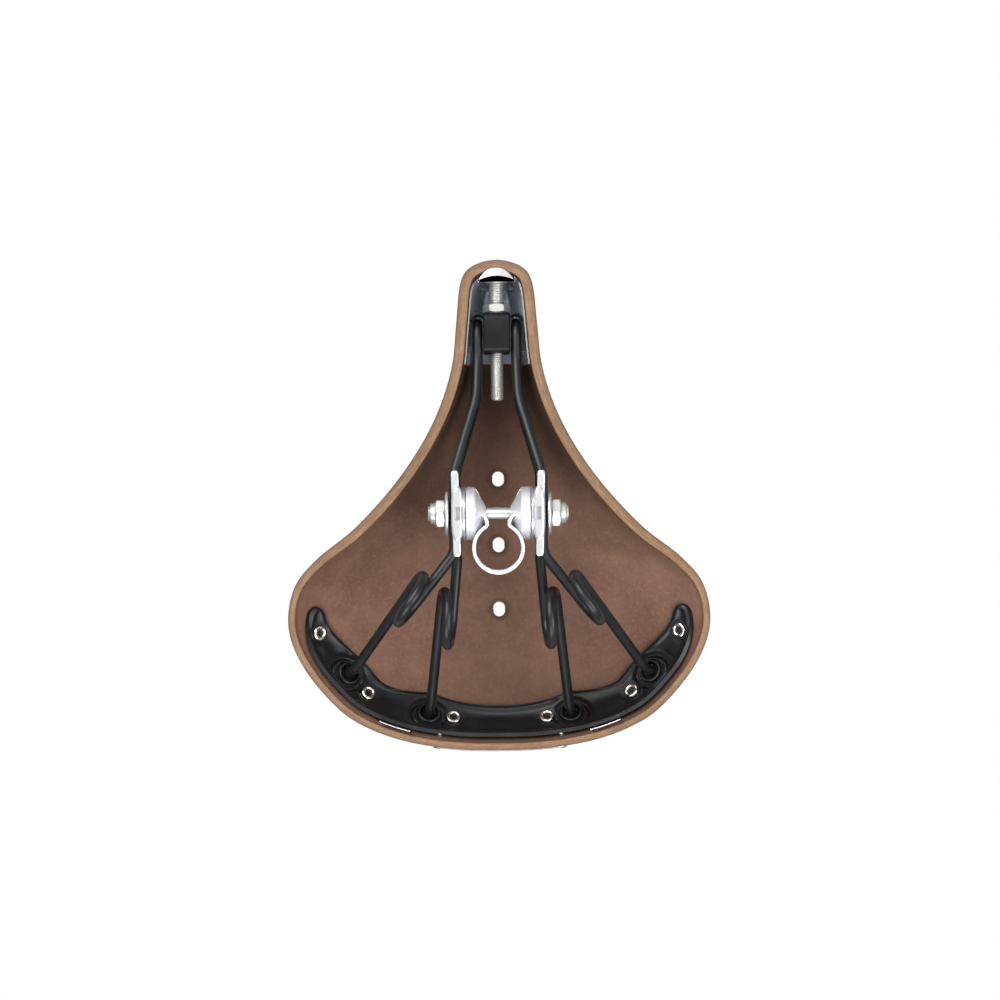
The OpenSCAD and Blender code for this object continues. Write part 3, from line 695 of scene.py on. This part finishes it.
def tube_rivet(depth, roll_r, seed):
    head = [(0, 1.95), (1.4, 1.9), (2.9, 1.5), (4.1, 0.9), (4.8, 0.3), (4.85, 0.12), (2.4, 0.1)]
    tail = [(2.4, -depth + 0.6), (roll_r - 0.35, -depth + 0.15), (roll_r, -depth - 0.35),
            (roll_r - 0.05, -depth - 0.75), (roll_r - 0.55, -depth - 1.15),
            (roll_r - 1.0, -depth - 1.2), (2.05, -depth - 0.9), (1.85, -depth - 0.3),
            (1.8, -depth + 2.2), (0, -depth + 2.2)]
    profile = np.concatenate([rounded(head, 0.3, 3), rounded(tail, 0.25, 3)])
    rng = np.random.default_rng(seed)
    phase, size = rng.uniform(0, 6.28, 3), rng.uniform(0.03, 0.10, 3)

    def wavy(r, z, t):
        if z > -depth + 0.3:
            return r, z
        wave = sum(s * math.sin(n * t + p) for n, s, p in zip((2, 3, 5), size, phase))
        return r * (1 + 0.25 * wave), z - 0.8 * wave * (r > 2.2)

    return lathe(profile, 48, wavy)


def rivets():
    groups = (("rear_rivets", REAR_RIVETS, CANTLE_D + 0.3, 3.7, "seat"),
              ("nose_rivets", NOSE_RIVETS, PLATE_D + 1.7, 3.0, "nose"))
    for name, places, depth, roll, body in groups:
        parts = []
        for k, (_, m) in enumerate(at_rivets(places)):
            points, faces = tube_rivet(depth, roll, 11 + k)
            # Painted shade: rivet tails inside the nose take the darker plating.
            inside = [int(body == "nose" and max(points[v][2] for v in f) < -2) for f in faces]
            parts.append(moved((points, faces, inside), m))
        piece(name + "_rolled", parts, body, [NICKEL, SHADED], name, sharp=55)
    stud = rounded([(0, 2.15), (1.5, 1.95), (2.6, 1.4), (3.0, 1.1), (1.6, 1.1),
                    (1.6, -CANTLE_D - 0.1), (2.7, -CANTLE_D - 0.1), (2.9, -CANTLE_D - 0.6),
                    (2.2, -CANTLE_D - 1.1), (0, -CANTLE_D - 1.2)], 0.3, 3)
    parts = [moved(lathe(stud, 32), m) for _, m in at_rivets(BADGE_RIVETS)]
    piece("badge_rivets_domed", parts, "seat", NICKEL, "badge_rivets", sharp=60)


def badge():
    """Plain stamped plate with a raised border."""
    def reach(t):
        opening = np.sqrt(1 - (1 - np.clip(t / 0.22, 0.0, 1)) ** 2)
        return mix(73.4, 62, opening), mix(73.6, 85, opening)

    side, u, a, _ = band_grid(BADGE_TIP_U, 160, 24, reach, 1.5)
    back = under(side, u, a, np.full(u.shape, -0.1))
    low, high, tip = rim_distances(back)
    rim = np.minimum(np.minimum(low, high), tip + 0.2)
    height = 0.45 + 0.45 * ease(0, 0.6, rim) - 0.3 * ease(1.3, 2.0, rim)
    front = under(side, u, a, -0.1 - height)
    piece("rear_badge_stamped", [shell(front, back)], "seat", NICKEL, "rear_badge",
          sharp=50)


def bag_loops():
    """Thin straps behind the cantle plate, each with a slotted tab that hangs below it."""
    for side, name in SIDES:
        angles = np.linspace(64, 84, 12)
        du = np.linspace(-BAG_DU, BAG_DU, 25) * side
        u = (BAG_U + du)[:, None] + 0 * angles
        a = angles + 0 * u

        def layer(depth):
            top = under(np.full(u.shape, side), u, a, np.full(u.shape, depth))
            tab = np.repeat(top[:, -1:, :], 14, 1)
            tab[..., 2] = np.linspace(TAB_TOP, TAB_FOOT, 14)
            lean = (TAB_TOP - tab[..., 2]) / TAB_LEAN
            tab[..., 0] *= 1 - lean
            tab[..., 1] -= (tab[..., 1] + 23) * lean
            return np.concatenate([top, tab], 1)

        outer, inner = layer(PLATE_D + 0.03), layer(PLATE_D + 0.03 + BAG_T)
        columns, rows = outer.shape[:2]
        strap = shell(outer, inner, (3, columns - 4, rows - 11, rows - 3))
        obj = piece(f"bag_loop_{name}_strap", [strap], "seat", CHROME,
                    f"bag_loop_{name}", sharp=40)
        bevel = obj.modifiers.new("bevel", "BEVEL")
        bevel.width, bevel.segments, bevel.limit_method = 0.2 * MM, 2, "ANGLE"
        bevel.angle_limit = math.radians(50)


# ---------------------------------------------------------------- nosepiece
NOSEPIECE_T = 1.6
NOSEPIECE_U = 3.9
NOSE_D = PLATE_D + NOSEPIECE_T
PIN_Y, PIN_Z, PIN_D, ROD_D = -131.5, 18.0, 7.3, 6.4
NUT_Y, ROD_L, ROD_END_Y = -119.6, 47.2, -73.1
TOE_R, TOE_W = 10.9, 11.2


def nosepiece():
    """Pressed shell inside the nose; its inner face is in shade, painted as a darker copy of the
    plating.
    """
    per_u, rows = 26, 40
    half = round(NOSEPIECE_U * per_u)
    us = np.concatenate([np.linspace(NOSEPIECE_U, 0, half + 1),
                         np.linspace(0, NOSEPIECE_U, half + 1)[1:]])
    side = np.array([RIGHT] * (half + 1) + [LEFT] * half)
    angles = 80 * (np.arange(rows + 1) / rows) ** 1.7
    u = us[:, None] + 0 * angles
    a = np.maximum(angles + 0 * u, 0.01)
    s = side[:, None] + 0 * a
    outer = under(s, u, a, np.full(u.shape, PLATE_D + 0.02))
    inner = under(s, u, a, NOSE_D - 0.85 * ease(62, 77, a))
    points, faces = shell(outer[:, ::-1], inner[:, ::-1])
    n = outer.shape[0] * outer.shape[1]
    # The inner face takes the painted-shade plating.
    which = [1 if min(f) >= n else 0 for f in faces]
    return points, faces, which


def nose_lip():
    """Crescent that the nosepiece folds out under the leather's cut edge."""
    half, tip_y = 9.3, -130.0
    x = np.linspace(-half, half, 49)
    share = np.abs(x / half)
    front = np.column_stack([x, mix(-136.9, tip_y, share ** 2.4)])
    rear = np.column_stack([x, mix(-132.3, tip_y, share ** 2)])[::-1][1:-1]
    return slab(np.concatenate([front, rear]), 6.1, 7.5, 0.55, 4)


def toe():
    """Solid toe that the tension pin bears on, with a rounded lower lip."""
    t = np.linspace(math.pi, 2 * math.pi, 49)
    front = np.column_stack([TOE_W * np.cos(t), TOE_R * np.sin(t)])
    back_y = PIN_Y - NOSE_Y
    arc = front[front[:, 1] < back_y - 0.3]
    w = math.sqrt(1 - (back_y / TOE_R) ** 2) * TOE_W
    hollow = [(x, back_y + 0.55 * (1 - (x / w) ** 2)) for x in np.linspace(w * 0.9, -w * 0.9, 17)]
    outline = np.concatenate([[(-w, back_y)], arc, [(w, back_y)], hollow])
    outline[:, 1] += NOSE_Y
    return slab(outline, PIN_Z - 7, PIN_Z + 7, 1.1, 4)


def along_pin(y):
    return Matrix.Translation((0, y, PIN_Z)) @ Matrix.Rotation(-math.pi / 2, 4, "X")


def threaded(z0, z1, r, depth, pitch):
    """Screw thread about +Z from z0 to z1 with chamfered, closed ends."""
    sides, chamfer = 48, 0.7
    rows = max(8, int((z1 - z0) / pitch * 8))
    z = np.linspace(z0, z1, rows + 1)[:, None]
    t = np.arange(sides) * 2 * math.pi / sides
    wave = np.abs(((z / pitch - t / (2 * math.pi)) % 1) * 2 - 1)
    grow = r - depth * ease(0.15, 0.85, wave)
    end = np.minimum(z - z0, z1 - z)
    grow = np.minimum(grow, r - depth * 1.1 + np.clip(end / chamfer, 0, 2) * depth * 1.1)
    points = np.stack([grow * np.cos(t), grow * np.sin(t), z + 0 * grow], -1)
    return points.reshape(-1, 3), ring_faces(len(z), sides)


def hex_nut(flats, z0, z1, bore, round_lo, round_hi, collar=()):
    """Hexagonal nut about +Z; its corners are turned off towards both faces."""
    corner = flats / math.sqrt(3)

    def reach(r, z, t):
        if r < corner - 0.01:
            return r, z
        flat = flats / 2 / math.cos(math.radians((math.degrees(t) % 60) - 30))
        lo = corner - max(0.0, (round_lo - (z - z0)) * 1.7)
        hi = corner - max(0.0, (round_hi - (z1 - z)) * 1.7)
        return min(flat, lo, hi, corner * 0.985), z

    rows = np.concatenate([np.linspace(z0, z0 + round_lo, 5),
                           np.linspace(z1 - round_hi, z1, 6)])
    profile = [(bore, z0 + 0.5), (bore + 0.35, z0)] + [(corner, z) for z in rows]
    profile += collar
    profile += [(bore + 0.35, profile[-1][1]), (bore, profile[-1][1] - 0.4), (bore, z0 + 0.5)]
    return lathe(profile, 96, reach)


def nose_hardware():
    # The toe, deep in the nose, takes the painted-shade plating.
    piece("nosepiece_pressed", [nosepiece(), (*toe(), 1), nose_lip()], "nose",
          [CHROME, SHADED], "nosepiece", sharp=55)
    shank = moved(threaded(0, NUT_Y - PIN_Y - 0.2, PIN_D / 2, 0.35, 1.25), along_pin(PIN_Y))
    rod = moved(threaded(0, ROD_L, ROD_D / 2, 0.42, 1.0), along_pin(NUT_Y - 0.3))
    end = rounded([(2.7, -0.4), (2.6, 0.35), (1.8, 0.9), (0, 1.1)], 0.4)
    tip = moved(lathe([(0, -0.4), *end], 40), along_pin(ROD_END_Y))
    piece("tension_pin_threaded", [shank, rod, tip], "nose", ZINC, "tension_pin")
    ring = rounded([(PIN_D / 2 - 0.2, 0.2), (PIN_D / 2, 0.0), (5.4, 0.0), (5.4, 1.3),
                    (PIN_D / 2, 1.3), (PIN_D / 2 - 0.2, 0.2)], 0.3)
    piece("pin_washer_turned", [moved(lathe(ring, 56), along_pin(PIN_Y))], "nose", ZINC,
          "pin_washer")
    nut = hex_nut(12.0, 0, 3.9, ROD_D / 2 + 0.06, 0.6, 0.5)
    piece("tension_nut_faceted", [moved(nut, along_pin(NUT_Y))], "tension_nut", ZINC,
          "tension_nut", sharp=25)


def ribbon(path, width, thick):
    """Flat bar of one width that follows a (y, z) centreline, square to the X axis."""
    d = unit(np.gradient(path, axis=0))
    normal = np.column_stack([-d[:, 1], d[:, 0]])
    w, bevel = width / 2, min(0.6, thick * 0.3)
    share = 1 - 2 * bevel / thick
    section = ((-w + bevel, -1), (w - bevel, -1), (w, -share), (w, share), (w - bevel, 1),
               (-w + bevel, 1), (-w, share), (-w, -share))
    rows = [np.column_stack([np.full(len(path), x), path + normal * off * thick / 2])
            for x, off in section]
    return np.stack(rows, 1).reshape(-1, 3), ring_faces(len(path), len(section))


ANCHOR_Y, ANCHOR_L = -115.3, 20.0
RAIL_X, CUP_Y = 9.5, -111.2


def nose_anchor():
    wall, low, high = 2.4, PIN_Z - 11, PIN_Z + 9
    y0, y1 = ANCHOR_Y + wall / 2, ANCHOR_Y + ANCHOR_L - wall / 2
    centre = rounded([(y0, high), (y0, low + wall / 2), (y1, low + wall / 2), (y1, high)],
                     2.4, 7)
    parts = [ribbon(centre, 13.2, wall)]
    t = np.linspace(1.02 * math.pi, 1.98 * math.pi, 25)
    ring = np.column_stack([np.cos(t), np.sin(t)])
    outline = np.concatenate([3.9 * ring, 2.95 * ring[::-1]])
    for s in (LEFT, RIGHT):
        parts.append(slab(outline + np.array([s * (RAIL_X - 0.3), CUP_Y]), low + 2, high - 2,
                          0.2, 2))
    piece("nose_anchor_folded", parts, "seat", DULL_ENAMEL, "nose_anchor", sharp=40)


# ---------------------------------------------------------------- spring wires
WIRE_D = 5.0
RAIL_Z = 6.75
OUTER_LOOP_R, INNER_LOOP_R, LOOP_SHIFT = 12.3, 12.7, 5.7
CLAMP_X, UPPER_CLAMP_X = 21.3, 20.6


def loop(p, z, d, r):
    out = np.array([d[1], -d[0]])
    front = p - 2 * r * d
    rb = r * 0.99
    low = 0.35 * LOOP_SHIFT * out
    return [((*p, z), rb), ((*(p + low), z - 2 * r), rb), ((*(front + low), z - 2 * r), rb),
            ((*(front + LOOP_SHIFT * out), z - 0.53 * r), rb)]


def socket_run(where):
    at, axis = socket_frame(LEFT, where)
    mouth = at - SOCKET_L * axis
    return [(mouth - 2.5 * axis, 10), (mouth + 4.5 * axis, 0)]


def wire_route():
    outer = loop(np.array([47.3, 35.4]), -RAIL_Z, unit([0.597, 0.802]), OUTER_LOOP_R)
    inner = loop(np.array([23.9, 46.7]), RAIL_Z, unit([0.086, 0.996]), INNER_LOOP_R)
    lo, hi = PIN_Z - RAIL_Z, PIN_Z + RAIL_Z
    return (socket_run("outer")[::-1] + outer[::-1] + [
        ((CLAMP_X, 2.4, -RAIL_Z), 12), ((CLAMP_X, -36.4, -RAIL_Z), 16),
        ((10.2, -73.5, lo - 5.5), 40), ((RAIL_X, -91, lo), 30),
        ((RAIL_X, -110.1, lo), RAIL_Z * 0.99), ((RAIL_X, -110.1, hi), RAIL_Z * 0.99),
        ((RAIL_X, -91, hi), 30), ((10.2, -73.5, hi - 5.5), 40),
        ((UPPER_CLAMP_X, -36.4, RAIL_Z), 16), ((UPPER_CLAMP_X, -0.5, RAIL_Z), 10),
        ((20.2, 5.5, RAIL_Z), 10)] + inner + socket_run("inner"))


def wire_path(route, step):
    """Straight stretches joined by bends of the given radii, as closely spaced points."""
    pts = [np.array(p, float) for p, _ in route]
    out = [pts[0]]
    for i in range(1, len(route) - 1):
        p, r = pts[i], route[i][1]
        a, b = unit(pts[i - 1] - p), unit(pts[i + 1] - p)
        turn = math.pi - math.acos(np.clip(a @ b, -1, 1))
        if turn < 1e-4:
            continue
        start = p + a * r * math.tan(turn / 2)
        centre = p + unit(a + b) * r / math.cos(turn / 2)
        n = max(2, math.ceil(math.degrees(turn) / step))
        for k in range(n + 1):
            t = turn * k / n
            out.append(centre + (start - centre) * math.cos(t) - a * r * math.sin(t))
    out.append(pts[-1])
    dense = [out[0]]
    for q in out[1:]:
        gap = np.linalg.norm(q - dense[-1])
        if gap < 0.05:
            continue
        n = max(1, int(gap / 6))
        dense += [dense[-1] + (q - dense[-1]) * (k / n) for k in range(1, n + 1)]
    return np.array(dense)


def tube(points, r, sides=24):
    d = unit(np.gradient(points, axis=0))
    normal = unit(np.cross(d[0], [0.3, 0.2, 0.9]))
    rings = []
    t = np.arange(sides) * 2 * math.pi / sides
    for p, axis in zip(points, d):
        normal = unit(normal - (normal @ axis) * axis)
        other = np.cross(axis, normal)
        rings.append(p + r * (np.cos(t)[:, None] * normal + np.sin(t)[:, None] * other))
    return np.concatenate(rings), ring_faces(len(rings), sides)


def wires():
    path = wire_path(wire_route(), 5.0 if fine else 10.0)
    for side, name in SIDES:
        part = tube(path, WIRE_D / 2)
        if side < 0:
            part = mirror(part)
        obj = piece(f"spring_wire_{name}", [part], None, ENAMEL,
                    f"frame_wire_{name}", sharp=60)
        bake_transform(obj)


# ---------------------------------------------------------------- post clip
POST_R, BAND_T, BAND_H, BOLT_Y = 11.1, 1.6, 22.0, 16.8
EAR_R, TEETH = 12.9, 60


def on_bolt(side):
    return Matrix.Translation((0, -BOLT_Y, 0)) @ Matrix.Rotation(math.pi / 2 * side, 4, "Y")


def toothed(profile, r_lo, face_z, depth, offset=0.0):
    """Turned part whose face at face_z carries radial serrations outside r_lo."""
    def reach(r, z, t):
        saw = abs(((t / (2 * math.pi) * TEETH + offset) % 1) * 2 - 1)
        if abs(z - face_z) < 0.02 and r > r_lo:
            return r, z - depth * saw * min(1, (r - r_lo) / 2)
        return r, z
    return lathe(profile, TEETH * 8, reach)


def band():
    """Sheet bent round the post, its ends turned outwards into the ears."""
    r = POST_R + BAND_T / 2
    gap = 5.2
    start = math.degrees(math.asin(gap / r))
    arc = np.radians(np.linspace(-90 + start, 270 - start, 97))
    ring = np.column_stack([r * np.cos(arc), r * np.sin(arc)])
    tail = np.array([(gap, -BOLT_Y + 4.2), (gap + 0.9, -BOLT_Y + 1.5), (gap + 3, -BOLT_Y)])
    path = np.concatenate([tail[::-1], ring, tail * np.array([-1, 1])])
    smooth = [path[0]]
    for a, b, c in zip(path, path[1:], path[2:]):
        smooth.append(0.25 * a + 0.5 * b + 0.25 * c)
    path = np.array(smooth + [path[-1]])
    d = unit(np.gradient(path, axis=0))
    out = np.column_stack([d[:, 1], -d[:, 0]])
    h, w = BAND_H / 2, BAND_T / 2
    lower = np.clip((np.abs(path[:, 0]) - 4.8) / 3 * (path[:, 1] < -BOLT_Y + 6), 0, 1) * 4.5
    rows = []
    section = rounded([(0, -1), (1, -1), (1, 1), (-1, 1), (-1, -1), (0, -1)], 0.8, 4)[:-1]
    for sx, sz in section:
        hh = h - lower
        edge = np.sign(sz) * (hh - (1 - abs(sz)) * w) if abs(sz) > 0.05 else sz * hh
        rows.append(np.column_stack([path + out * sx * w, edge + 0 * path[:, 0]]))
    return np.stack(rows, 1).reshape(-1, 3), ring_faces(len(path), len(section))


def post_clip():
    ear = rounded([(2.92, 7.4), (2.92, 6.2), (3.4, 5.9), (4.0, 6.3), (11.9, 10.7),
                   (12.6, 11.2), (EAR_R, 12.0), (EAR_R, 15.0), (EAR_R - 0.2, 15.7)], 0.5)
    face = [(EAR_R - 0.25, 15.7), (11.5, 15.7), (10, 15.7), (8.5, 15.7), (8.2, 15.3),
            (4.06, 15.3), (4.06, 14.9), (2.92, 14.9), (2.92, 7.4)]
    profile = np.concatenate([ear[:-1], face])
    parts = [band()]
    for side in (LEFT, RIGHT):
        parts.append(moved(toothed(profile, 8.6, 15.7, 0.3), on_bolt(side)))
    piece("post_clip_pressed", parts, "clip", PRESSED, "post_clip", sharp=32)


# ---------------------------------------------------------------- clamp
SHOE_X1, SHOE_Z, SHOE_L = 22.5, 11.0, 26.0
TONGUE_L, TONGUE_T = 41.4, 1.5
GROOVE_R = WIRE_D / 2 + 0.08


def bar(stations, corner):
    """Bar along Y through stations (y, x lo, x hi, z lo, z hi) with rounded long edges."""
    sides = 40
    t = (np.arange(sides) + 0.5) * 2 * math.pi / sides
    c, k = np.cos(t), np.sin(t)
    rings = []
    for y, x0, x1, z0, z1 in stations:
        r = min(corner, (x1 - x0) / 2.05, (z1 - z0) / 2.05)
        x = (x0 + x1) / 2 + np.sign(c) * ((x1 - x0) / 2 - r) + r * c
        z = (z0 + z1) / 2 + np.sign(k) * ((z1 - z0) / 2 - r) + r * k
        rings.append(np.column_stack([x, np.full(sides, y), z]))
    return np.concatenate(rings), ring_faces(len(rings), sides)


def capped(y0, y1, section, ends):
    """Stations from y0 to y1 whose section shrinks in a quarter round towards both ends."""
    out = []
    share = (1 - np.cos(np.linspace(0, math.pi, 24))) / 2
    for y in mix(y0, y1, share):
        x0, x1, z0, z1 = section(y)
        near = min(y - y0, y1 - y)
        k = 1 - min(near / ends, 1)
        trim = (1 - math.sqrt(1 - 0.92 * k * k)) * 1.2
        out.append((y, x0 + trim, x1 - trim, z0 + trim * 0.5, z1 - trim * 0.5))
    return out


def carved(part, cutters):
    """Part with the cutters taken away, as points in millimetres and faces."""
    def solid(name, points, faces):
        return new_object(name, points, outward(points, faces), [SATIN], [0] * len(faces))

    obj = solid("blank", *part)
    for cutter in cutters:
        cut(obj, solid("tool", *cutter))
    points = np.array([v.co for v in obj.data.vertices]) / MM
    faces = [list(f.vertices) for f in obj.data.polygons]
    bpy.data.objects.remove(obj)
    return points, faces


def inner_shoe(side, name):
    """Clamp half with two wire grooves, a tongue under the lower wire and a toothed face."""
    def body(y):
        off = abs(y + BOLT_Y) / (SHOE_L / 2)
        high = min(SHOE_Z, math.sqrt(max(17.2 ** 2 - (y + BOLT_Y) ** 2, 25)))
        return 16.8 + 1.1 * off ** 3, SHOE_X1 + 0.2 - 0.9 * off ** 3, -high - 0.7, high

    def tongue(y):
        slant = (y + BOLT_Y) / TONGUE_L
        return 18.5 - slant, 22.3 - slant, -SHOE_Z, -SHOE_Z + TONGUE_T

    def groove(x, z):
        return tube(np.array([(x, -60.0, z), (x, 40.0, z)]), GROOVE_R, 40)

    def pocket(grow):
        """Sunk into the lower face; grown, it leaves the tongue's walls inside the body."""
        ys = np.linspace(-BOLT_Y - 3.2 - grow, -BOLT_Y + 3.2 + grow, 5)
        top = -SHOE_Z + 0.8 + 10 * grow
        return bar([(y, 18.5 - grow, 20.7 + grow, -SHOE_Z - 2, top) for y in ys], 0.3)

    oval = bar([(-BOLT_Y - 15.7 + 1.9 * math.sin(k), 20.6 - math.cos(k), 20.6 + math.cos(k),
                 -SHOE_Z - 2, -SHOE_Z + 0.35) for k in np.linspace(-1.45, 1.45, 13)], 0.1)
    bore = tube(np.array([(14.0, -BOLT_Y, 0), (30.0, -BOLT_Y, 0)]), 4.15, 40)
    half, reach = SHOE_L / 2, TONGUE_L / 2
    parts = [carved(bar(capped(-BOLT_Y - half, -BOLT_Y + half, body, 3.0), 1.6),
                    [groove(CLAMP_X, -RAIL_Z), groove(UPPER_CLAMP_X, RAIL_Z), pocket(0), bore]),
             carved(bar(capped(-BOLT_Y - reach, -BOLT_Y + reach, tongue, 1.6), 0.7),
                    [pocket(0.1), oval])]
    if side < 0:
        parts = [mirror(part) for part in parts]
    points, faces = parts[0]
    # Faces on the pocket's floor take the painted-shade plating.
    shaded_pocket_floor = [abs(abs(x) - 19.6) < 1.2 and abs(y + BOLT_Y) < 3.3 and z < 1 - SHOE_Z
            for x, y, z in points]
    parts[0] = points, faces, [int(all(shaded_pocket_floor[k] for k in face)) for face in faces]
    ring = np.concatenate([rounded([(4.15, 17.2), (4.15, 16.6), (8.2, 16.6), (8.5, 15.85)], 0.2, 2),
                           [(10, 15.85), (11.5, 15.85), (12.65, 15.85), (12.9, 16.2),
                            (12.9, 16.9), (12.3, 17.6), (4.15, 17.6), (4.15, 17.2)]])
    parts.append(moved(toothed(ring, 8.6, 15.85, -0.3, 0.5), on_bolt(side)))
    piece(f"inner_shoe_{name}_forged", parts, "clamp", [SATIN, POCKET_SHADE],
          f"inner_shoe_{name}", sharp=38)


def clamp():
    cheek = rounded([(4.1, 23.9), (9.9, 23.9), (10.8, 24.2), (10.95, 24.9), (10.6, 25.5),
                     (9.6, 25.85), (6.9, 25.9), (6.6, 25.6), (4.1, 25.6), (4.1, 23.9)], 0.4)
    collar = [(6.3, 30.4), (5.3, 30.6), (5.0, 32.6), (4.6, 33.0), (4.2, 33.0)]
    for side, name in SIDES:
        inner_shoe(side, name)
        piece(f"outer_cheek_{name}_turned", [moved(lathe(cheek, 72), on_bolt(side))], "clamp",
              SATIN, f"outer_cheek_{name}", sharp=35)
        nut = hex_nut(13.0, 25.95, 30.6, 4.06, 0.7, 1.0, collar)
        piece(f"clamp_nut_{name}_collared", [moved(nut, on_bolt(side))], f"nut_{name}",
              ZINC, f"clamp_nut_{name}", sharp=28)
    waist = rounded([(0, -16), (2.8, -16), (2.8, 16), (0, 16)], 0.2)
    parts = [moved(lathe(waist, 48), on_bolt(LEFT))]
    for side in (LEFT, RIGHT):
        parts.append(moved(threaded(15.2, 34, 4.0, 0.45, 1.25), on_bolt(side)))
    piece("clamp_bolt_threaded", parts, "clamp", ZINC, "clamp_bolt")


# ---------------------------------------------------------------- stage
FLOOR_HALF, FLOOR_Z = 6000, -1600


def area_light(name, place, target, size, power):
    data = bpy.data.lights.new(name, "AREA")
    data.shape, data.size, data.energy = "DISK", size, power
    obj = bpy.data.objects.new(name, data)
    obj.location = place
    obj.rotation_euler = (Vector(target) - Vector(place)).to_track_quat("-Z", "Y").to_euler()
    obj.visible_camera = False
    bpy.context.scene.collection.objects.link(obj)


def sky():
    """World that looks plain white, but lights and reflects as grey bands round the horizon."""
    m = Nodes("studio", bpy.data.worlds, "Background")
    parts = m.add("ShaderNodeSeparateXYZ")
    m.put(parts.inputs[0], m.add("ShaderNodeTexCoord").outputs["Generated"])
    ramp = m.add("ShaderNodeValToRGB")
    m.put(ramp.inputs[0], m.remap(parts.outputs["Z"], -1.0, 1.0))
    stops = ramp.color_ramp.elements
    stops[0].position, stops[0].color = 0.0, (0.55, 0.55, 0.56, 1)
    stops[1].position, stops[1].color = 1.0, (1, 1, 1, 1)
    for at, grey in ((0.22, 0.62), (0.40, 0.42), (0.56, 0.34), (0.75, 0.75)):
        stops.new(at).color = (grey, grey, grey * 1.01, 1)
    m.shade(Color=ramp.outputs["Color"], Strength=0.9)
    plain = m.add("ShaderNodeBackground", Color=(1, 1, 1), Strength=1.0)
    seen = m.add("ShaderNodeLightPath").outputs["Is Camera Ray"]
    choose = m.add("ShaderNodeMixShader", Fac=seen)
    m.put(choose.inputs[1], m.shader.outputs[0])
    m.put(choose.inputs[2], plain.outputs[0])
    m.put(m.tree.nodes["World Output"].inputs["Surface"], choose.outputs[0])
    bpy.context.scene.world = m.owner


def camera():
    """Looks straight up at the underside, with the nose at the top of the picture."""
    eye = bpy.data.objects.new("camera", bpy.data.cameras.new("camera"))
    eye.matrix_world = (Matrix.Translation((0.0009, -0.0232, -1.172))
                        @ Matrix.Rotation(math.radians(0.5), 4, "Z")
                        @ Matrix.Diagonal((1, -1, -1, 1)))
    eye.data.sensor_width = 36
    eye.data.lens = 36 * 1.2 / 0.4976
    eye.data.clip_start = 0.01
    bpy.context.scene.collection.objects.link(eye)
    bpy.context.scene.camera = eye


def floor():
    m = Nodes("pale_floor")
    tint = m.noise(m.place(), 3, 2)
    m.shade(Base_Color=m.colours(tint, (0.80, 0.80, 0.80), (0.84, 0.84, 0.84)), Roughness=0.8)
    s, z = FLOOR_HALF, FLOOR_Z
    corners = np.array([(-s, -s, z), (s, -s, z), (s, s, z), (-s, s, z)])
    new_object("floor", corners, [(0, 1, 2, 3)], [m.owner], [0])


def stage():
    camera()
    floor()
    sky()
    middle = (0, -0.0232, 0.02)
    area_light("key", (-0.55, -0.75, -0.95), middle, 1.2, 22)
    area_light("fill", (0.75, 0.25, -0.9), middle, 0.9, 11)
    area_light("low", (-0.1, 0.9, -0.75), middle, 0.8, 9)
    area_light("top", (0.2, -0.2, 1.3), middle, 1.4, 12)
    bpy.context.scene.view_settings.view_transform = "Standard"


leather()
cantle_plate()
sockets()
rivets()
badge()
bag_loops()
nose_hardware()
nose_anchor()
wires()
post_clip()
clamp()
stage()
